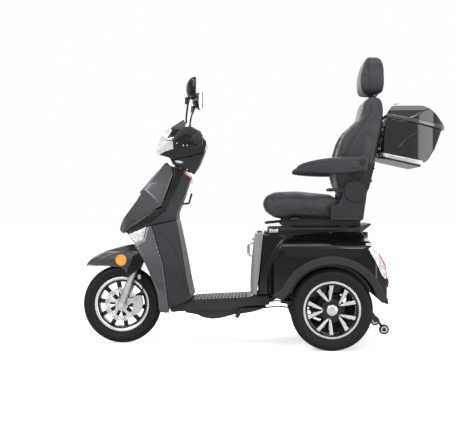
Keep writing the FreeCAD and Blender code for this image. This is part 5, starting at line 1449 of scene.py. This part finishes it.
def backdrop():
    """A pale floor that keeps the shadow, and a world that is white where it is seen or mirrored."""
    mesh = bpy.data.meshes.new("floor")
    mesh.from_pydata([(-30, -30, 0), (30, -30, 0), (30, 30, 0), (-30, 30, 0)], [], [(0, 1, 2, 3)])
    ground = link("studio_floor", mesh)
    mat = bpy.data.materials.new("Studio_floor")
    mat.use_nodes = True
    tree = mat.node_tree
    ray = shader_node(tree, "LightPath", {}, {})
    glow = shader_node(tree, "Math", {1: 0.52}, {0: ray.outputs["Is Camera Ray"]})
    glow.operation = "MULTIPLY"
    set_node(tree, tree.nodes["Principled BSDF"],
             {"Base Color": (0.93, 0.93, 0.93, 1), "Roughness": 0.9, "Specular IOR Level": 0.1,
              "Emission Color": (1, 1, 1, 1)}, {"Emission Strength": glow.outputs["Value"]})
    ground.data.materials.append(mat)
    world = bpy.data.worlds.new("Studio")
    bpy.context.scene.world = world
    world.use_nodes = True
    tree = world.node_tree
    path = shader_node(tree, "LightPath", {}, {}).outputs
    mirrored = shader_node(tree, "Math", {}, {0: path["Is Glossy Ray"], 1: path["Is Transmission Ray"]})
    seen = shader_node(tree, "Math", {}, {0: path["Is Camera Ray"], 1: mirrored.outputs["Value"]})
    mirrored.operation = seen.operation = "MAXIMUM"
    level = shader_node(tree, "MapRange", {"To Min": 0.55, "To Max": 1.0}, {"Value": seen.outputs["Value"]})
    set_node(tree, tree.nodes["Background"], {"Color": (1, 1, 1, 1)}, {"Strength": level.outputs["Result"]})


def lamp(name, where, target, width, power):
    """A soft square studio light aimed at a point."""
    data = bpy.data.lights.new(name, "AREA")
    data.shape = "SQUARE"
    data.size = width
    data.energy = power
    obj = link(name, data)
    obj.location = where
    obj.rotation_euler = (Vector(target) - Vector(where)).to_track_quat("-Z", "Y").to_euler()


def camera():
    """A long lens level with the floor board, looking squarely at the left side."""
    data = bpy.data.cameras.new("camera")
    data.lens = 81.7
    data.sensor_width = 36
    obj = link("camera", data)
    obj.location = (-0.041, -5.4, 0.726)
    aim = Vector((-0.1738, 0, 0.650))
    obj.rotation_euler = (aim - obj.location).to_track_quat("-Z", "Y").to_euler()
    bpy.context.scene.camera = obj


def build():
    """Sets the scene and builds every piece."""
    camera()
    backdrop()
    lamp("key", (-2.2, -4.0, 2.9), (-0.4, 0, 0.7), 2.2, 95)
    lamp("brow", (-2.7, -1.5, 3.3), (-0.3, 0, 0.7), 1.3, 60)
    lamp("fill", (3.6, -2.5, 1.1), (0.4, 0, 1.0), 2.4, 95)
    lamp("shoulder", (1.2, -3.2, 2.7), (0.55, 0, 1.4), 1.0, 40)
    lamp("top", (0.2, 0.2, 4.2), (0, 0, 0.5), 3.0, 70)
    lamp("back", (0.5, 4.0, 2.6), (0, 0, 0.8), 3.0, 60)
    finish_cad_nodes()
    tyre("front_tyre", FRONT, "front_wheel")
    tyre("rear_tyre_left", REAR_LEFT, "rear_wheel_left")
    tyre("rear_tyre_right", REAR_RIGHT, "rear_wheel_right")
    front_wheel()
    rear_wheel("left", REAR_LEFT, "rear_wheel_left")
    rear_wheel("right", REAR_RIGHT, "rear_wheel_right")
    front_bodywork()
    front_fender()
    floor()
    rear_bodywork()
    dampers()
    seat_box_door()
    head_unit()
    grips_and_levers()
    mirrors()
    recliner_covers()
    seat_cushion()
    seat_back()
    head_rest()
    arm_rests()
    top_box()


build()
bpy.context.scene.view_settings.view_transform = "Standard"
